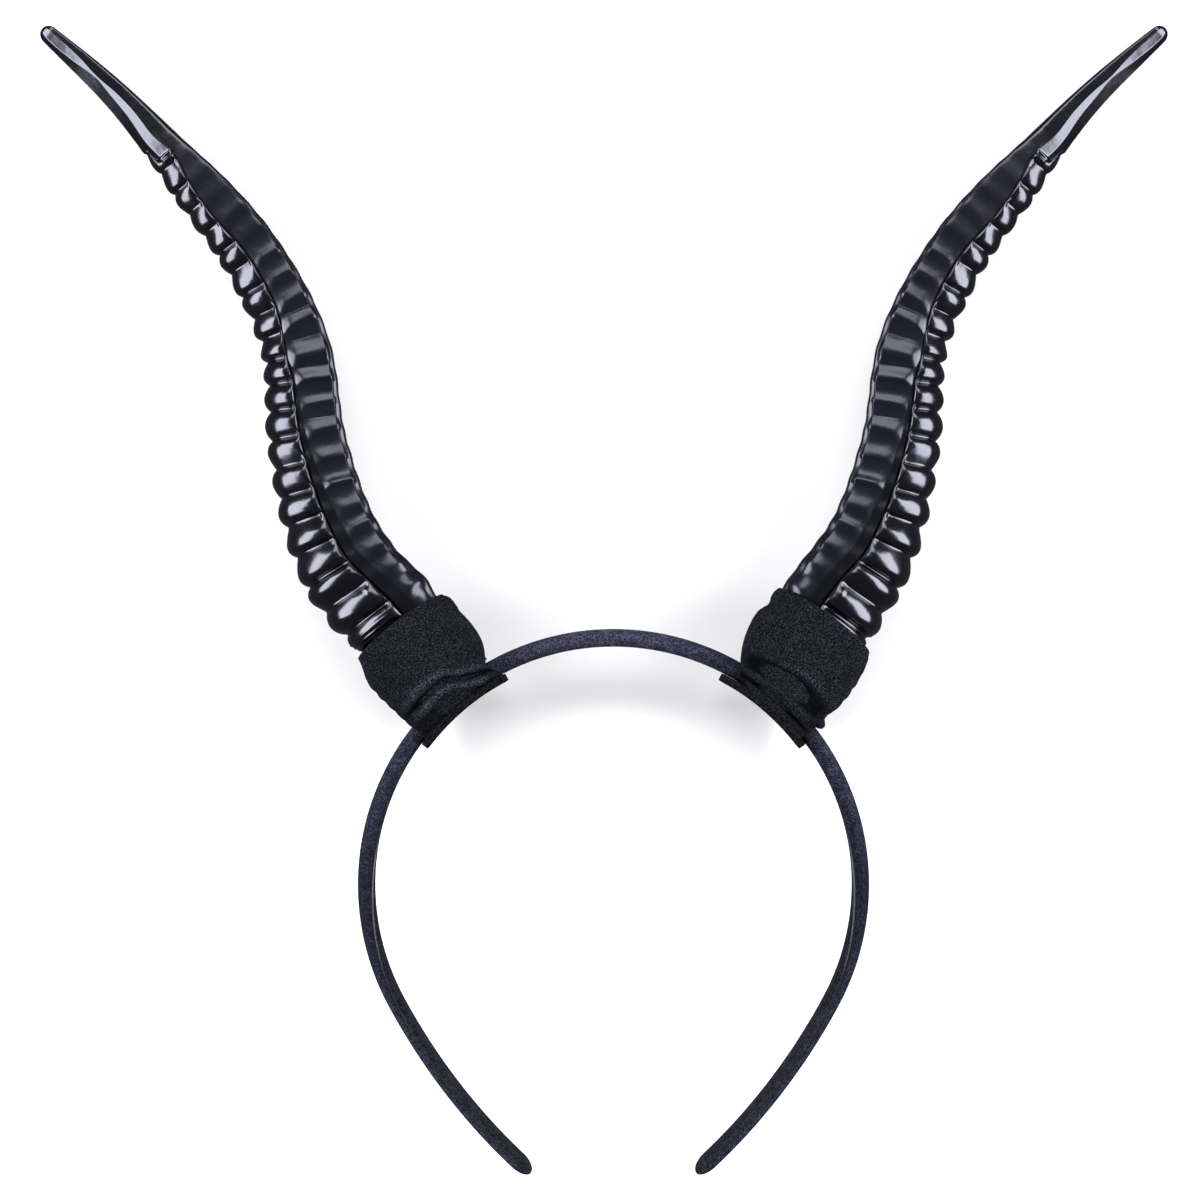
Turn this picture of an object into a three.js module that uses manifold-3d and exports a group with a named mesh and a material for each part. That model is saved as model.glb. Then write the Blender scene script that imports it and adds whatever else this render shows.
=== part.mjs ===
// Horned headband: a slim cloth-covered band that carries two long ringed horns in knitted sleeves.
// Millimetres. It lies on its back, with its front facing up: X runs from ear to ear, Y up the
// horns and Z towards the viewer. The middle of the band's round arc is the centre to draw from.

import * as THREE from 'three';
import { mergeVertices } from 'three/addons/utils/BufferGeometryUtils.js';
import Module from 'manifold-3d';

const wasm = await Module();
wasm.setup();

const degrees = THREE.MathUtils.degToRad;
const { sin, cos, abs, sqrt, sign, PI } = Math;

// Gap left between neighbouring pieces
const clearance = 0.3;

// Band
const bandOuterRadius = 70;
const bandThickness = 4.7;
const bandDepth = 7.5;
const bandArcAngle = degrees(118);
const armLength = 60.3;
const armBendRadius = 170;
const armTwist = degrees(12);
const bandTipRounding = 3.4;

// Seats of the horns on the band, measured from the crown
const seatAngle = degrees(40.4);
const standAngle = degrees(37.5);
const hornPairOffset = -2.6;

// Horn, seen from the front, from the sleeve's rim to the tip
const hornReach = 96.7;
const hornRise = 165.7;
const hornWidth = 27.6;
const hornWall = 1.2;
const hornTipRounding = 2.6;
const hornSquareness = 1.1;
const smallestRadius = 0.1;

// Share of the way from the tip to the rim where the lying horn touches the surface, and where
// its base ends inside the sleeve
const restShare = 0.3;
const baseShare = 1.1;

// Beads along the horn's outer side and ribs along its inner side
const firstBead = 48.6;
const beadPitchAtTip = 6.93;
const beadPitchGrowth = 0.039;
const beadRelief = 2.2;
const ribRelief = 0.6;
const ringedRelief = 0.6;

// Sleeve
const sleeveLength = 20.3;
const sleeveWall = 1.2;
const sleeveHemAngle = degrees(11.5);
const hemSquareness = 1.5;
const gatherCount = 7;
const gatherDepth = 0.35;

// Pad
const padHalfAngle = degrees(13.2);
const padThickness = 2.0;
const padDepth = 22;
const padRounding = 0.5;

// Steps of the meshes
const bandArcSteps = 41;
const armSteps = 7;
const bandTipShares = [0.5, 0.85];
const hornTipShares = [0.1, 0.25, 0.6];
const smoothTipSteps = 8;
const stepsPerBead = 4;
const baseShares = [0.4, 0.7, 1];
const coreSteps = 12;
const curveDivisions = 40;
const sleeveSides = 26;
const tabSides = 10;
const tabRows = 6;
const padSteps = 7;

// Worked out from the sizes above
const bandInnerRadius = bandOuterRadius - bandThickness;
const bandMidRadius = bandOuterRadius - bandThickness / 2;
const bandFacetAngle = bandArcAngle / bandArcSteps;
const padOuterRadius = bandInnerRadius * cos(bandFacetAngle) - clearance;
const padMidRadius = padOuterRadius - padThickness / 2;
const hemRadius = padOuterRadius + clearance;

// The band's thickness and twist, by share of the way from the crown to a tip
const bandTable = [
  { along: 0.00, thickness: 1.00, twist: 0.0 },
  { along: 0.40, thickness: 1.00, twist: 0.0 },
  { along: 0.62, thickness: 0.95, twist: 0.5 },
  { along: 0.78, thickness: 0.88, twist: 1.0 },
  { along: 1.00, thickness: 0.88, twist: 1.0 },
];

// Section of the band: a flat inner face and a crowned outer one, as shares of its two sizes
const bandOutline = [
  { radial: 0.50, depth: -0.13 },
  { radial: 0.50, depth: 0.13 },
  { radial: 0.38, depth: 0.36 },
  { radial: 0.12, depth: 0.50 },
  { radial: -0.34, depth: 0.50 },
  { radial: -0.50, depth: 0.36 },
  { radial: -0.50, depth: -0.36 },
  { radial: -0.34, depth: -0.50 },
  { radial: 0.12, depth: -0.50 },
  { radial: 0.38, depth: -0.36 },
];

// The horn's line from the tip down to the rim, as shares of its reach, rise and lean back
const hornLineTable = [
  { out: 1.000, up: 1.000, back: 1.00 },
  { out: 0.784, up: 0.885, back: 0.93 },
  { out: 0.591, up: 0.758, back: 0.82 },
  { out: 0.409, up: 0.626, back: 0.68 },
  { out: 0.282, up: 0.475, back: 0.52 },
  { out: 0.244, up: 0.307, back: 0.34 },
  { out: 0.162, up: 0.144, back: 0.16 },
  { out: 0.000, up: 0.000, back: 0.00 },
];

// The horn's section by share of the way from the tip to the rim; past 1 it is inside the sleeve.
// Width is a share of the horn's width, depth a share of the width there, and relief a share of
// the beads' height. The crease lies across the front face, from -1 inside to 1 outside.
const hornTable = [
  { along: 0.00, width: 0.17, depth: 0.90, relief: 0.00, crease: -0.05 },
  { along: 0.06, width: 0.22, depth: 0.88, relief: 0.00, crease: -0.10 },
  { along: 0.16, width: 0.30, depth: 0.86, relief: 0.05, crease: -0.15 },
  { along: 0.24, width: 0.40, depth: 0.86, relief: 0.45, crease: -0.10 },
  { along: 0.32, width: 0.54, depth: 0.88, relief: 0.60, crease: 0.12 },
  { along: 0.44, width: 0.63, depth: 0.90, relief: 0.75, crease: 0.08 },
  { along: 0.58, width: 0.71, depth: 0.92, relief: 0.90, crease: 0.27 },
  { along: 0.72, width: 0.81, depth: 0.93, relief: 0.95, crease: 0.10 },
  { along: 0.84, width: 0.93, depth: 0.94, relief: 1.00, crease: -0.06 },
  { along: 0.92, width: 1.02, depth: 0.94, relief: 1.00, crease: -0.21 },
  { along: 0.97, width: 1.03, depth: 0.94, relief: 1.00, crease: -0.24 },
  { along: 1.00, width: 0.94, depth: 0.95, relief: 0.70, crease: -0.24 },
  { along: 1.10, width: 0.83, depth: 0.96, relief: 0.00, crease: -0.10 },
];

// Front half of the horn's section from its outer edge to its inner edge. Plain and ridged are
// shares of the height of a rounded outline there, where the horn is smooth and where it is ringed.
const hornOutline = [
  { across: 1.00, plain: 1.00, ridged: 1.00, bead: 1.0, rib: 0.0 },
  { across: 0.90, plain: 0.98, ridged: 1.00, bead: 1.0, rib: 0.0 },
  { across: 0.62, plain: 0.96, ridged: 1.00, bead: 0.9, rib: 0.0 },
  { across: 0.16, plain: 1.00, ridged: 0.90, bead: 0.6, rib: 0.0 },
  { across: 0.00, plain: 1.00, ridged: 0.74, bead: 0.0, rib: 0.0 },
  { across: -0.12, plain: 1.00, ridged: 1.00, bead: 0.0, rib: 0.5 },
  { across: -0.48, plain: 0.95, ridged: 1.00, bead: 0.0, rib: 1.0 },
  { across: -0.80, plain: 0.93, ridged: 1.00, bead: 0.0, rib: 0.6 },
  { across: -0.88, plain: 0.95, ridged: 0.84, bead: 0.0, rib: 0.0 },
  { across: -1.00, plain: 1.00, ridged: 1.00, bead: 0.0, rib: 0.0 },
];

// Sections of the sleeve from its rim, 0, to its hem, 1, as shares of its half sizes at the rim.
// Slack is the share of the loose cloth's shift at that section.
const sleeveTable = [
  { drop: 0.00, width: 1.00, depth: 1.00, gather: 0.3, slack: 0.0 },
  { drop: 0.06, width: 1.05, depth: 1.02, gather: 0.6, slack: 0.3 },
  { drop: 0.22, width: 1.11, depth: 1.03, gather: 0.8, slack: 0.8 },
  { drop: 0.44, width: 1.14, depth: 1.02, gather: 0.5, slack: 1.0 },
  { drop: 0.64, width: 1.12, depth: 1.02, gather: 0.4, slack: 0.9 },
  { drop: 0.77, width: 1.07, depth: 1.01, gather: 1.0, slack: 0.5 },
  { drop: 0.88, width: 1.02, depth: 0.91, gather: 1.6, slack: 0.2 },
  { drop: 1.00, width: 0.98, depth: 0.78, gather: 0.8, slack: 0.0 },
];

// What differs between the two sides: how far the sleeve's rim climbs up the horn, how far its
// loose cloth hangs out towards the crown, and whether a corner of the hem sticks out as a tab
const sides = [
  { name: 'left', side: -1, rimRise: 0.5, slack: 1.4, tabbed: false },
  { name: 'right', side: 1, rimRise: 4.9, slack: -1.2, tabbed: true },
];
const tabRadius = 2.4;
const tabDepth = 8;

// Value of one column of a table at a place along it, on a smooth curve through the rows
function readTable(table, key, column, place) {
  const last = table.length - 1;
  const clamped = THREE.MathUtils.clamp(place, table[0][key], table[last][key]);
  let row = 0;
  while (row < last - 1 && clamped > table[row + 1][key]) row += 1;
  const slope = (index) => {
    const before = table[Math.max(index - 1, 0)];
    const after = table[Math.min(index + 1, last)];
    return (after[column] - before[column]) / (after[key] - before[key]);
  };
  const span = table[row + 1][key] - table[row][key];
  const t = (clamped - table[row][key]) / span;
  const start = table[row][column];
  const end = table[row + 1][column];
  const startPart = (1 + 2 * t) * (1 - t) ** 2 * start + t * (1 - t) ** 2 * span * slope(row);
  const endPart = t * t * (3 - 2 * t) * end + t * t * (t - 1) * span * slope(row + 1);
  return startPart + endPart;
}

// A closed body through rings of points that turn the right-handed way about their travel.
// It ends in a point at each given end, or the last ring joins the first.
function loft(rings, { startPoint = null, endPoint = null, mirrored = false } = {}) {
  const sides = rings[0].length;
  const points = rings.flat();
  const faces = [];
  const joined = !startPoint && !endPoint;
  const bands = joined ? rings.length : rings.length - 1;
  for (let ring = 0; ring < bands; ring += 1) {
    const here = ring * sides;
    const next = ((ring + 1) % rings.length) * sides;
    for (let side = 0; side < sides; side += 1) {
      const beside = (side + 1) % sides;
      faces.push([here + side, here + beside, next + beside]);
      faces.push([here + side, next + beside, next + side]);
    }
  }
  const closeEnd = (point, firstIndex, turned) => {
    const tip = points.push(point) - 1;
    for (let side = 0; side < sides; side += 1) {
      const a = firstIndex + side;
      const b = firstIndex + ((side + 1) % sides);
      faces.push(turned ? [tip, b, a] : [tip, a, b]);
    }
  };
  if (startPoint) closeEnd(startPoint, 0, true);
  if (endPoint) closeEnd(endPoint, (rings.length - 1) * sides, false);
  const geometry = new THREE.BufferGeometry();
  geometry.setAttribute('position', new THREE.Float32BufferAttribute(points.flatMap((p) => p.toArray()), 3));
  geometry.setIndex(faces.flatMap(([a, b, c]) => (mirrored ? [a, c, b] : [a, b, c])));
  geometry.computeVertexNormals();
  return geometry;
}

function solidOf(geometry) {
  const vertProperties = new Float32Array(geometry.attributes.position.array);
  const triVerts = new Uint32Array(geometry.index.array);
  return new wasm.Manifold(new wasm.Mesh({ numProp: 3, vertProperties, triVerts }));
}

function geometryOf(solid) {
  const mesh = solid.getMesh();
  const geometry = new THREE.BufferGeometry();
  geometry.setAttribute('position', new THREE.Float32BufferAttribute(mesh.vertProperties, mesh.numProp));
  geometry.setIndex(new THREE.Uint32BufferAttribute(mesh.triVerts, 1));
  geometry.computeVertexNormals();
  return geometry;
}

// Point at an angle from the crown and a radius about the centre of the band's arc
function arcPoint(angle, radius, z = 0) {
  return new THREE.Vector3(radius * sin(angle), radius * cos(angle), z);
}

// Where the band's middle line is, and how it points, at a length along it from the crown
function bandStation(length) {
  const half = abs(length);
  const side = sign(length) || 1;
  const arcLength = bandMidRadius * bandArcAngle;
  const heading = half < arcLength
    ? half / bandMidRadius
    : bandArcAngle + (half - arcLength) / armBendRadius;
  const place = arcPoint(Math.min(heading, bandArcAngle), bandMidRadius);
  if (heading > bandArcAngle) {
    place.add(arcPoint(heading, armBendRadius)).sub(arcPoint(bandArcAngle, armBendRadius));
  }
  place.x *= side;
  const outward = new THREE.Vector3(side * sin(heading), cos(heading), 0);
  return { place, outward };
}

const bandHalfLength = bandMidRadius * bandArcAngle + armLength;

// The band, or the space that it needs when grown by a margin all round
function bandGeometry(margin = 0) {
  const front = new THREE.Vector3(0, 0, 1);
  const arcLength = bandMidRadius * bandArcAngle;
  const half = [];
  for (let step = 1; step <= bandArcSteps; step += 2) half.push((arcLength * step) / bandArcSteps);
  const straight = armLength - bandTipRounding;
  for (let step = 1; step <= armSteps; step += 1) half.push(arcLength + (straight * step) / armSteps);
  for (const share of bandTipShares) half.push(bandHalfLength - bandTipRounding * (1 - share));
  const lengths = [...half.map((length) => -length).reverse(), ...half];
  const rings = lengths.map((length) => {
    const { place, outward } = bandStation(length);
    const along = abs(length) / bandHalfLength;
    const twist = armTwist * readTable(bandTable, 'along', 'twist', along);
    const radial = outward.clone().multiplyScalar(cos(twist)).addScaledVector(front, -sin(twist));
    const depth = front.clone().multiplyScalar(cos(twist)).addScaledVector(outward, sin(twist));
    const intoTip = Math.max(0, 1 - (bandHalfLength - abs(length)) / bandTipRounding);
    const rounding = sqrt(1 - intoTip * intoTip);
    const thickness = bandThickness * readTable(bandTable, 'along', 'thickness', along);
    const thick = rounding * thickness + 2 * margin;
    const deep = rounding * bandDepth + 2 * margin;
    return bandOutline.map((point) => place.clone()
      .addScaledVector(radial, point.radial * thick)
      .addScaledVector(depth, point.depth * deep));
  });
  const startPoint = bandStation(-bandHalfLength - margin).place;
  const endPoint = bandStation(bandHalfLength + margin).place;
  return loft(rings, { startPoint, endPoint });
}

// A felt pad that follows the band's inner face, with rounded long edges
function padGeometry(side) {
  const halfThick = padThickness / 2;
  const halfDeep = padDepth / 2;
  const outline = [
    [halfThick, -halfDeep + padRounding],
    [halfThick, halfDeep - padRounding],
    [halfThick - padRounding, halfDeep],
    [padRounding - halfThick, halfDeep],
    [-halfThick, halfDeep - padRounding],
    [-halfThick, padRounding - halfDeep],
    [padRounding - halfThick, -halfDeep],
    [halfThick - padRounding, -halfDeep],
  ];
  const angles = [];
  for (let step = 0; step <= padSteps; step += 1) {
    angles.push(side * seatAngle + padHalfAngle * ((2 * step) / padSteps - 1));
  }
  const rings = angles.map((angle) => outline.map(([radial, z]) => arcPoint(angle, padMidRadius + radial, z)));
  const startPoint = arcPoint(angles[0], padMidRadius);
  const endPoint = arcPoint(angles[padSteps], padMidRadius);
  return loft(rings, { startPoint, endPoint });
}

// The points below count outwards from the middle plane, so one horn serves both sides.

// The horn's open base straddles the band: its walls meet the band a little way down the arc
function seatPoint() {
  const halfOpening = (hornWidth * readTable(hornTable, 'along', 'width', baseShare)) / 2 - hornWall;
  const restRadius = bandOuterRadius + clearance;
  return arcPoint(seatAngle, sqrt(restRadius ** 2 - halfOpening ** 2));
}

function rimPoint(side) {
  const rim = arcPoint(seatAngle, bandOuterRadius);
  rim.add(arcPoint(standAngle, sleeveLength));
  rim.x += side * hornPairOffset;
  return rim;
}

// The horn leans back until its back lies on the same surface as the backs of the sleeves
function hornLean() {
  const width = hornWidth * readTable(hornTable, 'along', 'width', restShare);
  const backOfHorn = (width * readTable(hornTable, 'along', 'depth', restShare)) / 2;
  const backOfSleeve = Math.max(...sleeveTable.map((row) => (
    row.depth * sleeveHalfDepth() + row.gather * gatherDepth
  )));
  const backShare = readTable(
    hornLineTable.map((row, index) => ({ ...row, along: index / (hornLineTable.length - 1) })),
    'along', 'back', restShare,
  );
  return (backOfSleeve - backOfHorn) / backShare;
}

// Half sizes of a sleeve where it grips the horn; both sleeves are as deep as the deeper grip
function sleeveHalfWidth(along) {
  return (hornWidth * readTable(hornTable, 'along', 'width', along)) / 2 + clearance + sleeveWall;
}

function sleeveHalfDepth() {
  const row = hornTable.reduce((deepest, next) => (next.width > deepest.width ? next : deepest));
  return (hornWidth * row.width * row.depth) / 2 + clearance + sleeveWall;
}

function hornCurve(side) {
  const rim = rimPoint(side);
  const lean = hornLean();
  const points = hornLineTable.map((row) => new THREE.Vector3(
    rim.x + row.out * hornReach,
    rim.y + row.up * hornRise,
    -row.back * lean,
  ));
  points.push(seatPoint());
  const curve = new THREE.CatmullRomCurve3(points, false, 'catmullrom', 0.5);
  const divisions = (points.length - 1) * curveDivisions;
  curve.arcLengthDivisions = divisions;
  const lengths = curve.getLengths(divisions);
  return { curve, length: lengths[divisions], toRim: lengths[divisions - curveDivisions] };
}

// Number of beads passed at a length from the tip, counting from 0 at the first bead's crest
function beadsPassed(length) {
  const beyond = length - firstBead;
  const growth = beadPitchGrowth / 2;
  return (sqrt(Math.max(beadPitchAtTip ** 2 + 4 * growth * beyond, 0)) - beadPitchAtTip) / (2 * growth);
}

function lengthAtBead(bead) {
  return firstBead + beadPitchAtTip * bead + (beadPitchGrowth / 2) * bead * bead;
}

// Height of a row of round bulges, from 0 in a valley to 1 on a crest
function bulge(length) {
  return sqrt(abs(cos(PI * beadsPassed(length))));
}

// Axes of the horn's section at a length from the tip; past the rim it turns square to the band
function hornFrame(horn, length) {
  const share = THREE.MathUtils.clamp(length / horn.length, 0, 1);
  const place = horn.curve.getPointAt(share);
  const towardsTip = horn.curve.getTangentAt(share).negate();
  const pastRim = Math.max(0, (length - horn.toRim) / (horn.length - horn.toRim));
  towardsTip.lerp(arcPoint(seatAngle, 1), pastRim).normalize();
  const front = new THREE.Vector3(0, 0, 1);
  front.addScaledVector(towardsTip, -front.dot(towardsTip)).normalize();
  const outer = new THREE.Vector3().crossVectors(towardsTip, front).normalize();
  return { place, towardsTip, front, outer };
}

// Height of a rounded outline over a place across it; squareness 1 is an ellipse
function outlineHeight(across, squareness) {
  const power = 2 * squareness;
  return Math.max(0, 1 - abs(across) ** power) ** (1 / power);
}

// One ring of the horn: its outer skin, or the hollow core when an inset is given
function hornRing(horn, length, inset = 0) {
  const { place, front, outer } = hornFrame(horn, length);
  const along = length / horn.toRim;
  const column = (name) => readTable(hornTable, 'along', name, along);
  const tipShare = THREE.MathUtils.clamp(1 - length / hornTipRounding, 0, 1);
  const rounding = sqrt(1 - tipShare * tipShare);
  const halfWidth = (rounding * hornWidth * column('width')) / 2;
  const halfDepth = halfWidth * column('depth');
  const relief = column('relief');
  const crest = inset > 0 ? 0 : bulge(length);
  const half = hornOutline.map((point) => {
    const across = point.across + column('crease') * (1 - point.across ** 2);
    const ringed = THREE.MathUtils.smoothstep(relief, 0, ringedRelief);
    const height = THREE.MathUtils.lerp(point.plain, point.ridged, ringed);
    const forward = height * outlineHeight(across, hornSquareness);
    const spot = new THREE.Vector2(across * halfWidth, forward * halfDepth);
    const sunk = (1 - crest) * relief * (point.bead * beadRelief + point.rib * ribRelief) + inset;
    return spot.setLength(Math.max(spot.length() - sunk, smallestRadius));
  });
  const back = half.slice(1, -1).reverse().map((spot) => new THREE.Vector2(spot.x, -spot.y));
  return [...half, ...back].map((spot) => place.clone()
    .addScaledVector(outer, spot.x)
    .addScaledVector(front, spot.y));
}

function toSide(rings, side) {
  return rings.map((ring) => ring.map((point) => new THREE.Vector3(side * point.x, point.y, point.z)));
}

function hornGeometry(side) {
  const horn = hornCurve(side);
  const firstValley = lengthAtBead(-0.5);
  const lengths = hornTipShares.map((share) => hornTipRounding * share);
  for (let step = 0; step < smoothTipSteps; step += 1) {
    lengths.push(THREE.MathUtils.lerp(hornTipRounding, firstValley, step / smoothTipSteps));
  }
  const baseLengths = baseShares.map((share) => THREE.MathUtils.lerp(horn.toRim, horn.length, share));
  for (let bead = -0.5; lengthAtBead(bead) < baseLengths[0] - clearance; bead += 1 / stepsPerBead) {
    lengths.push(lengthAtBead(bead));
  }
  lengths.push(...baseLengths);
  const skin = lengths.map((length) => hornRing(horn, length));
  const core = [];
  for (let step = 0; step <= coreSteps; step += 1) {
    const length = THREE.MathUtils.lerp(horn.length, firstValley, step / coreSteps);
    core.push(hornRing(horn, length, hornWall));
  }
  const [startPoint] = toSide([[horn.curve.getPointAt(0)]], side)[0];
  const [endPoint] = toSide([[horn.curve.getPointAt((firstValley - hornWall) / horn.length)]], side)[0];
  return loft(toSide([...skin, ...core], side), { startPoint, endPoint, mirrored: side < 0 });
}

// A point of the rounded outline, turning from the outer side to the front
function roundedOutline(turn, squareness) {
  const bend = (value) => sign(value) * abs(value) ** (1 / squareness);
  return { across: bend(cos(turn)), forward: bend(sin(turn)) };
}

// One ring of the sleeve, from the rim's plane round the horn to the hem's curve on the pad
function sleeveRing(horn, row, settings, inset) {
  const rimLength = horn.toRim - settings.rimRise;
  const rim = hornFrame(horn, rimLength);
  const along = rimLength / horn.toRim;
  const fullWidth = sleeveHalfWidth(along);
  const flatsOut = inset > 0 ? 1 / cos(PI / sleeveSides) : 1;
  const halfWidth = (fullWidth * row.width - inset) * flatsOut;
  const halfDepth = (sleeveHalfDepth() * row.depth - inset) * flatsOut;
  const squareness = THREE.MathUtils.lerp(hornSquareness, hemSquareness, row.drop);
  const hemWidth = fullWidth * sleeveTable[sleeveTable.length - 1].width;
  const ring = [];
  for (let side = 0; side < sleeveSides; side += 1) {
    const turn = (2 * PI * side) / sleeveSides;
    const { across, forward } = roundedOutline(turn, squareness);
    const gather = inset > 0 ? 0 : gatherDepth * row.gather * sin(gatherCount * turn);
    const wide = across * (halfWidth + gather) - settings.slack * row.slack;
    const deep = forward * (halfDepth + gather);
    const above = rim.place.clone().addScaledVector(rim.outer, wide).addScaledVector(rim.front, deep);
    const below = arcPoint(seatAngle + (wide / hemWidth) * sleeveHemAngle, hemRadius, deep);
    ring.push(above.lerp(below, row.drop));
  }
  return ring;
}

// The corner of cloth that sticks out beside the band at the sleeve's outer end
function tabGeometry(side) {
  const tab = new THREE.SphereGeometry(1, tabSides, tabRows);
  tab.deleteAttribute('normal');
  tab.deleteAttribute('uv');
  tab.scale(tabRadius, tabRadius, tabDepth / 2);
  const { x, y } = arcPoint(seatAngle + sleeveHemAngle, bandOuterRadius + tabRadius);
  tab.translate(side * x, y, 0);
  return mergeVertices(tab);
}

function sleeveGeometry(settings) {
  const { side, tabbed } = settings;
  const horn = hornCurve(side);
  const outside = sleeveTable.map((row) => sleeveRing(horn, row, settings, 0));
  const inside = sleeveTable.map((row) => sleeveRing(horn, row, settings, sleeveWall)).reverse();
  const tube = solidOf(loft(toSide([...outside, ...inside], side), { mirrored: side < 0 }));
  const cloth = tabbed ? tube.add(solidOf(tabGeometry(side))) : tube;
  return geometryOf(cloth.subtract(solidOf(bandGeometry(clearance))));
}

function material(colour, roughness) {
  return new THREE.MeshStandardMaterial({ color: colour, roughness, metalness: 0, flatShading: true });
}

const bandCloth = material(0x26262f, 0.8);
const hornPlastic = material(0x16161c, 0.25);
const sleeveKnit = material(0x15171d, 0.95);
const padFelt = material(0x1b1c24, 1.0);

const headpiece = new THREE.Group();

function addPiece(name, geometry, finish) {
  const mesh = new THREE.Mesh(geometry, finish);
  mesh.name = name;
  headpiece.add(mesh);
}

addPiece('headband', bandGeometry(), bandCloth);
for (const settings of sides) {
  addPiece(`horn_${settings.name}`, hornGeometry(settings.side), hornPlastic);
  addPiece(`sleeve_${settings.name}`, sleeveGeometry(settings), sleeveKnit);
  addPiece(`pad_${settings.name}`, padGeometry(settings.side), padFelt);
}

// The origin is under the middle of the whole piece, on the surface that it lies on
const box = new THREE.Box3().setFromObject(headpiece);
const middle = box.getCenter(new THREE.Vector3());
headpiece.position.set(-middle.x, -middle.y, -box.min.z);

const part = new THREE.Group();
part.add(headpiece);

export default part;
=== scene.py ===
"""Visual model of a horned headband: a slim cloth-covered band and two ringed horns in sleeves.

Sizes are in millimetres from the middle of the band's round arc, unless a name ends in M, and
become metres where a mesh is made. X runs from ear to ear, Y up the horns and Z to the front.
"""

import math

import bpy
import numpy as np
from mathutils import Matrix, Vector


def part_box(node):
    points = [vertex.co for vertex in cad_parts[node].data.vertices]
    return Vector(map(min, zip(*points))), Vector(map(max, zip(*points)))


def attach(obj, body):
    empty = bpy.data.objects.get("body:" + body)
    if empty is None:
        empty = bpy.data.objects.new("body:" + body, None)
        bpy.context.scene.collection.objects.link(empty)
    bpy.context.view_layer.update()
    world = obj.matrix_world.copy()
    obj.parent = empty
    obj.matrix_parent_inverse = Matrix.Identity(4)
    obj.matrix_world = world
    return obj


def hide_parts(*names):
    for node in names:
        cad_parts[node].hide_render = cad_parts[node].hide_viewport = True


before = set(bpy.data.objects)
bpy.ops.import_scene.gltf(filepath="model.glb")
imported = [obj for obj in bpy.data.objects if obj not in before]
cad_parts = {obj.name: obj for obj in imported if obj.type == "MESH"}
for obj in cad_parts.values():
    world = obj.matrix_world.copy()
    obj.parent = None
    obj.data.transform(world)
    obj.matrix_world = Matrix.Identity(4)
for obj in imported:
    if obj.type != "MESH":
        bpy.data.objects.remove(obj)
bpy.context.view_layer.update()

METRES = 0.001
FRONT = np.array((0.0, 0.0, 1.0))
CLEARANCE = 0.3

# How far the lowest points stay off the surface that the headband lies on
LIFT = 0.05

# Band. The inner half of the band gets only this share of its painted light, as painted shade.
BAND_OUTER_RADIUS = 70.0
BAND_THICKNESS = 4.7
BAND_DEPTH = 7.5
BAND_ARC_ANGLE = math.radians(118)
BAND_ARC_FACETS = 41
BAND_FACET_ANGLE = BAND_ARC_ANGLE / BAND_ARC_FACETS
BAND_INNER_RADIUS = BAND_OUTER_RADIUS - BAND_THICKNESS
BAND_MID_RADIUS = BAND_OUTER_RADIUS - BAND_THICKNESS / 2
ARM_LENGTH = 60.3
ARM_BEND_RADIUS = 170.0
ARM_TWIST = math.radians(12)
BAND_TIP_ROUNDING = 5.0
BAND_HALF_LENGTH = BAND_MID_RADIUS * BAND_ARC_ANGLE + ARM_LENGTH
INNER_HALF_LIGHT = 0.5

# Seam across the band's front, with a pale line and a darker strip inside it. Each pair says where
# it starts and where it is complete, by share of the way to the tip or across the band.
SEAM_DEPTH = 0.4
SEAM_WIDTH = 0.32
SEAM_SHOWS = (0.36, 0.50)
SEAM_LINE_SHIFT = -0.35
SEAM_LINE_WIDTH = 0.16
SEAM_LINE_SHOWS = (0.44, 0.50)
SEAM_LINE_FADES = (0.57, 0.69)
SEAM_LINE_LOSS = 0.9
STRIP_EDGE = (0.1, -0.3)
FRONT_FACE = (0.2, 0.4)
OUTER_HALF = (-0.35, 0.25)

# Seats of the horns on the band, measured from the crown
SEAT_ANGLE = math.radians(40.4)
STAND_ANGLE = math.radians(37.5)
HORN_PAIR_OFFSET = -2.6

# Horn
HORN_REACH = 96.7
HORN_RISE = 165.7
HORN_WIDTH = 27.6
HORN_WALL = 1.2
HORN_TIP_ROUNDING = 2.6
HORN_SQUARENESS = 1.1
REST_SHARE = 0.3
BASE_SHARE = 1.1

# Beads along the horn's outer side, with a groove beside them. Each pair is where a change starts
# and ends, by share of the way from the tip to the rim or across a bead, or the range of a chance.
FIRST_BEAD = 48.6
BEAD_PITCH_AT_TIP = 6.93
BEAD_PITCH_GROWTH = 0.039
BEAD_COUNT = 31
BEAD_RELIEF = 2.2
BEAD_SIZE_VARIETY = 0.12
BEAD_LEAN_VARIETY = 0.7
BEAD_FACET_SHARE = 0.34
BEAD_FACET_VARIETY = (0.2, 1.5)
BEAD_FACET_END = 0.80
BEAD_FACETS_START = (0.2, 0.5)
BEAD_FACETS_FADE = (0.91, 0.97)
BEAD_FACET_LOSS = 0.8
FACET_LEAVES_RIDGE = (0, 0.3)
FACET_MEETS_SIDE = (0.8, 1.1)
BEAD_END_ROUNDING = 3.0
BEAD_END_GROWTH = 0.6
BEAD_ENDS_GROW = (0.7, 0.95)
BEAD_SHARPNESS = 0.34
VALLEY_ROUNDING = 0.004
VALLEY_STARTS = (-0.1, 0.5)
GROOVE_DEPTH = 1.9
SHOULDER_DEPTH = 0.22
GROOVE_HALF_WIDTH = 14.0
LEAST_HEIGHT = 0.02
DEEPEST_SHARE = 0.8
HORN_SEED = 11

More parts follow.
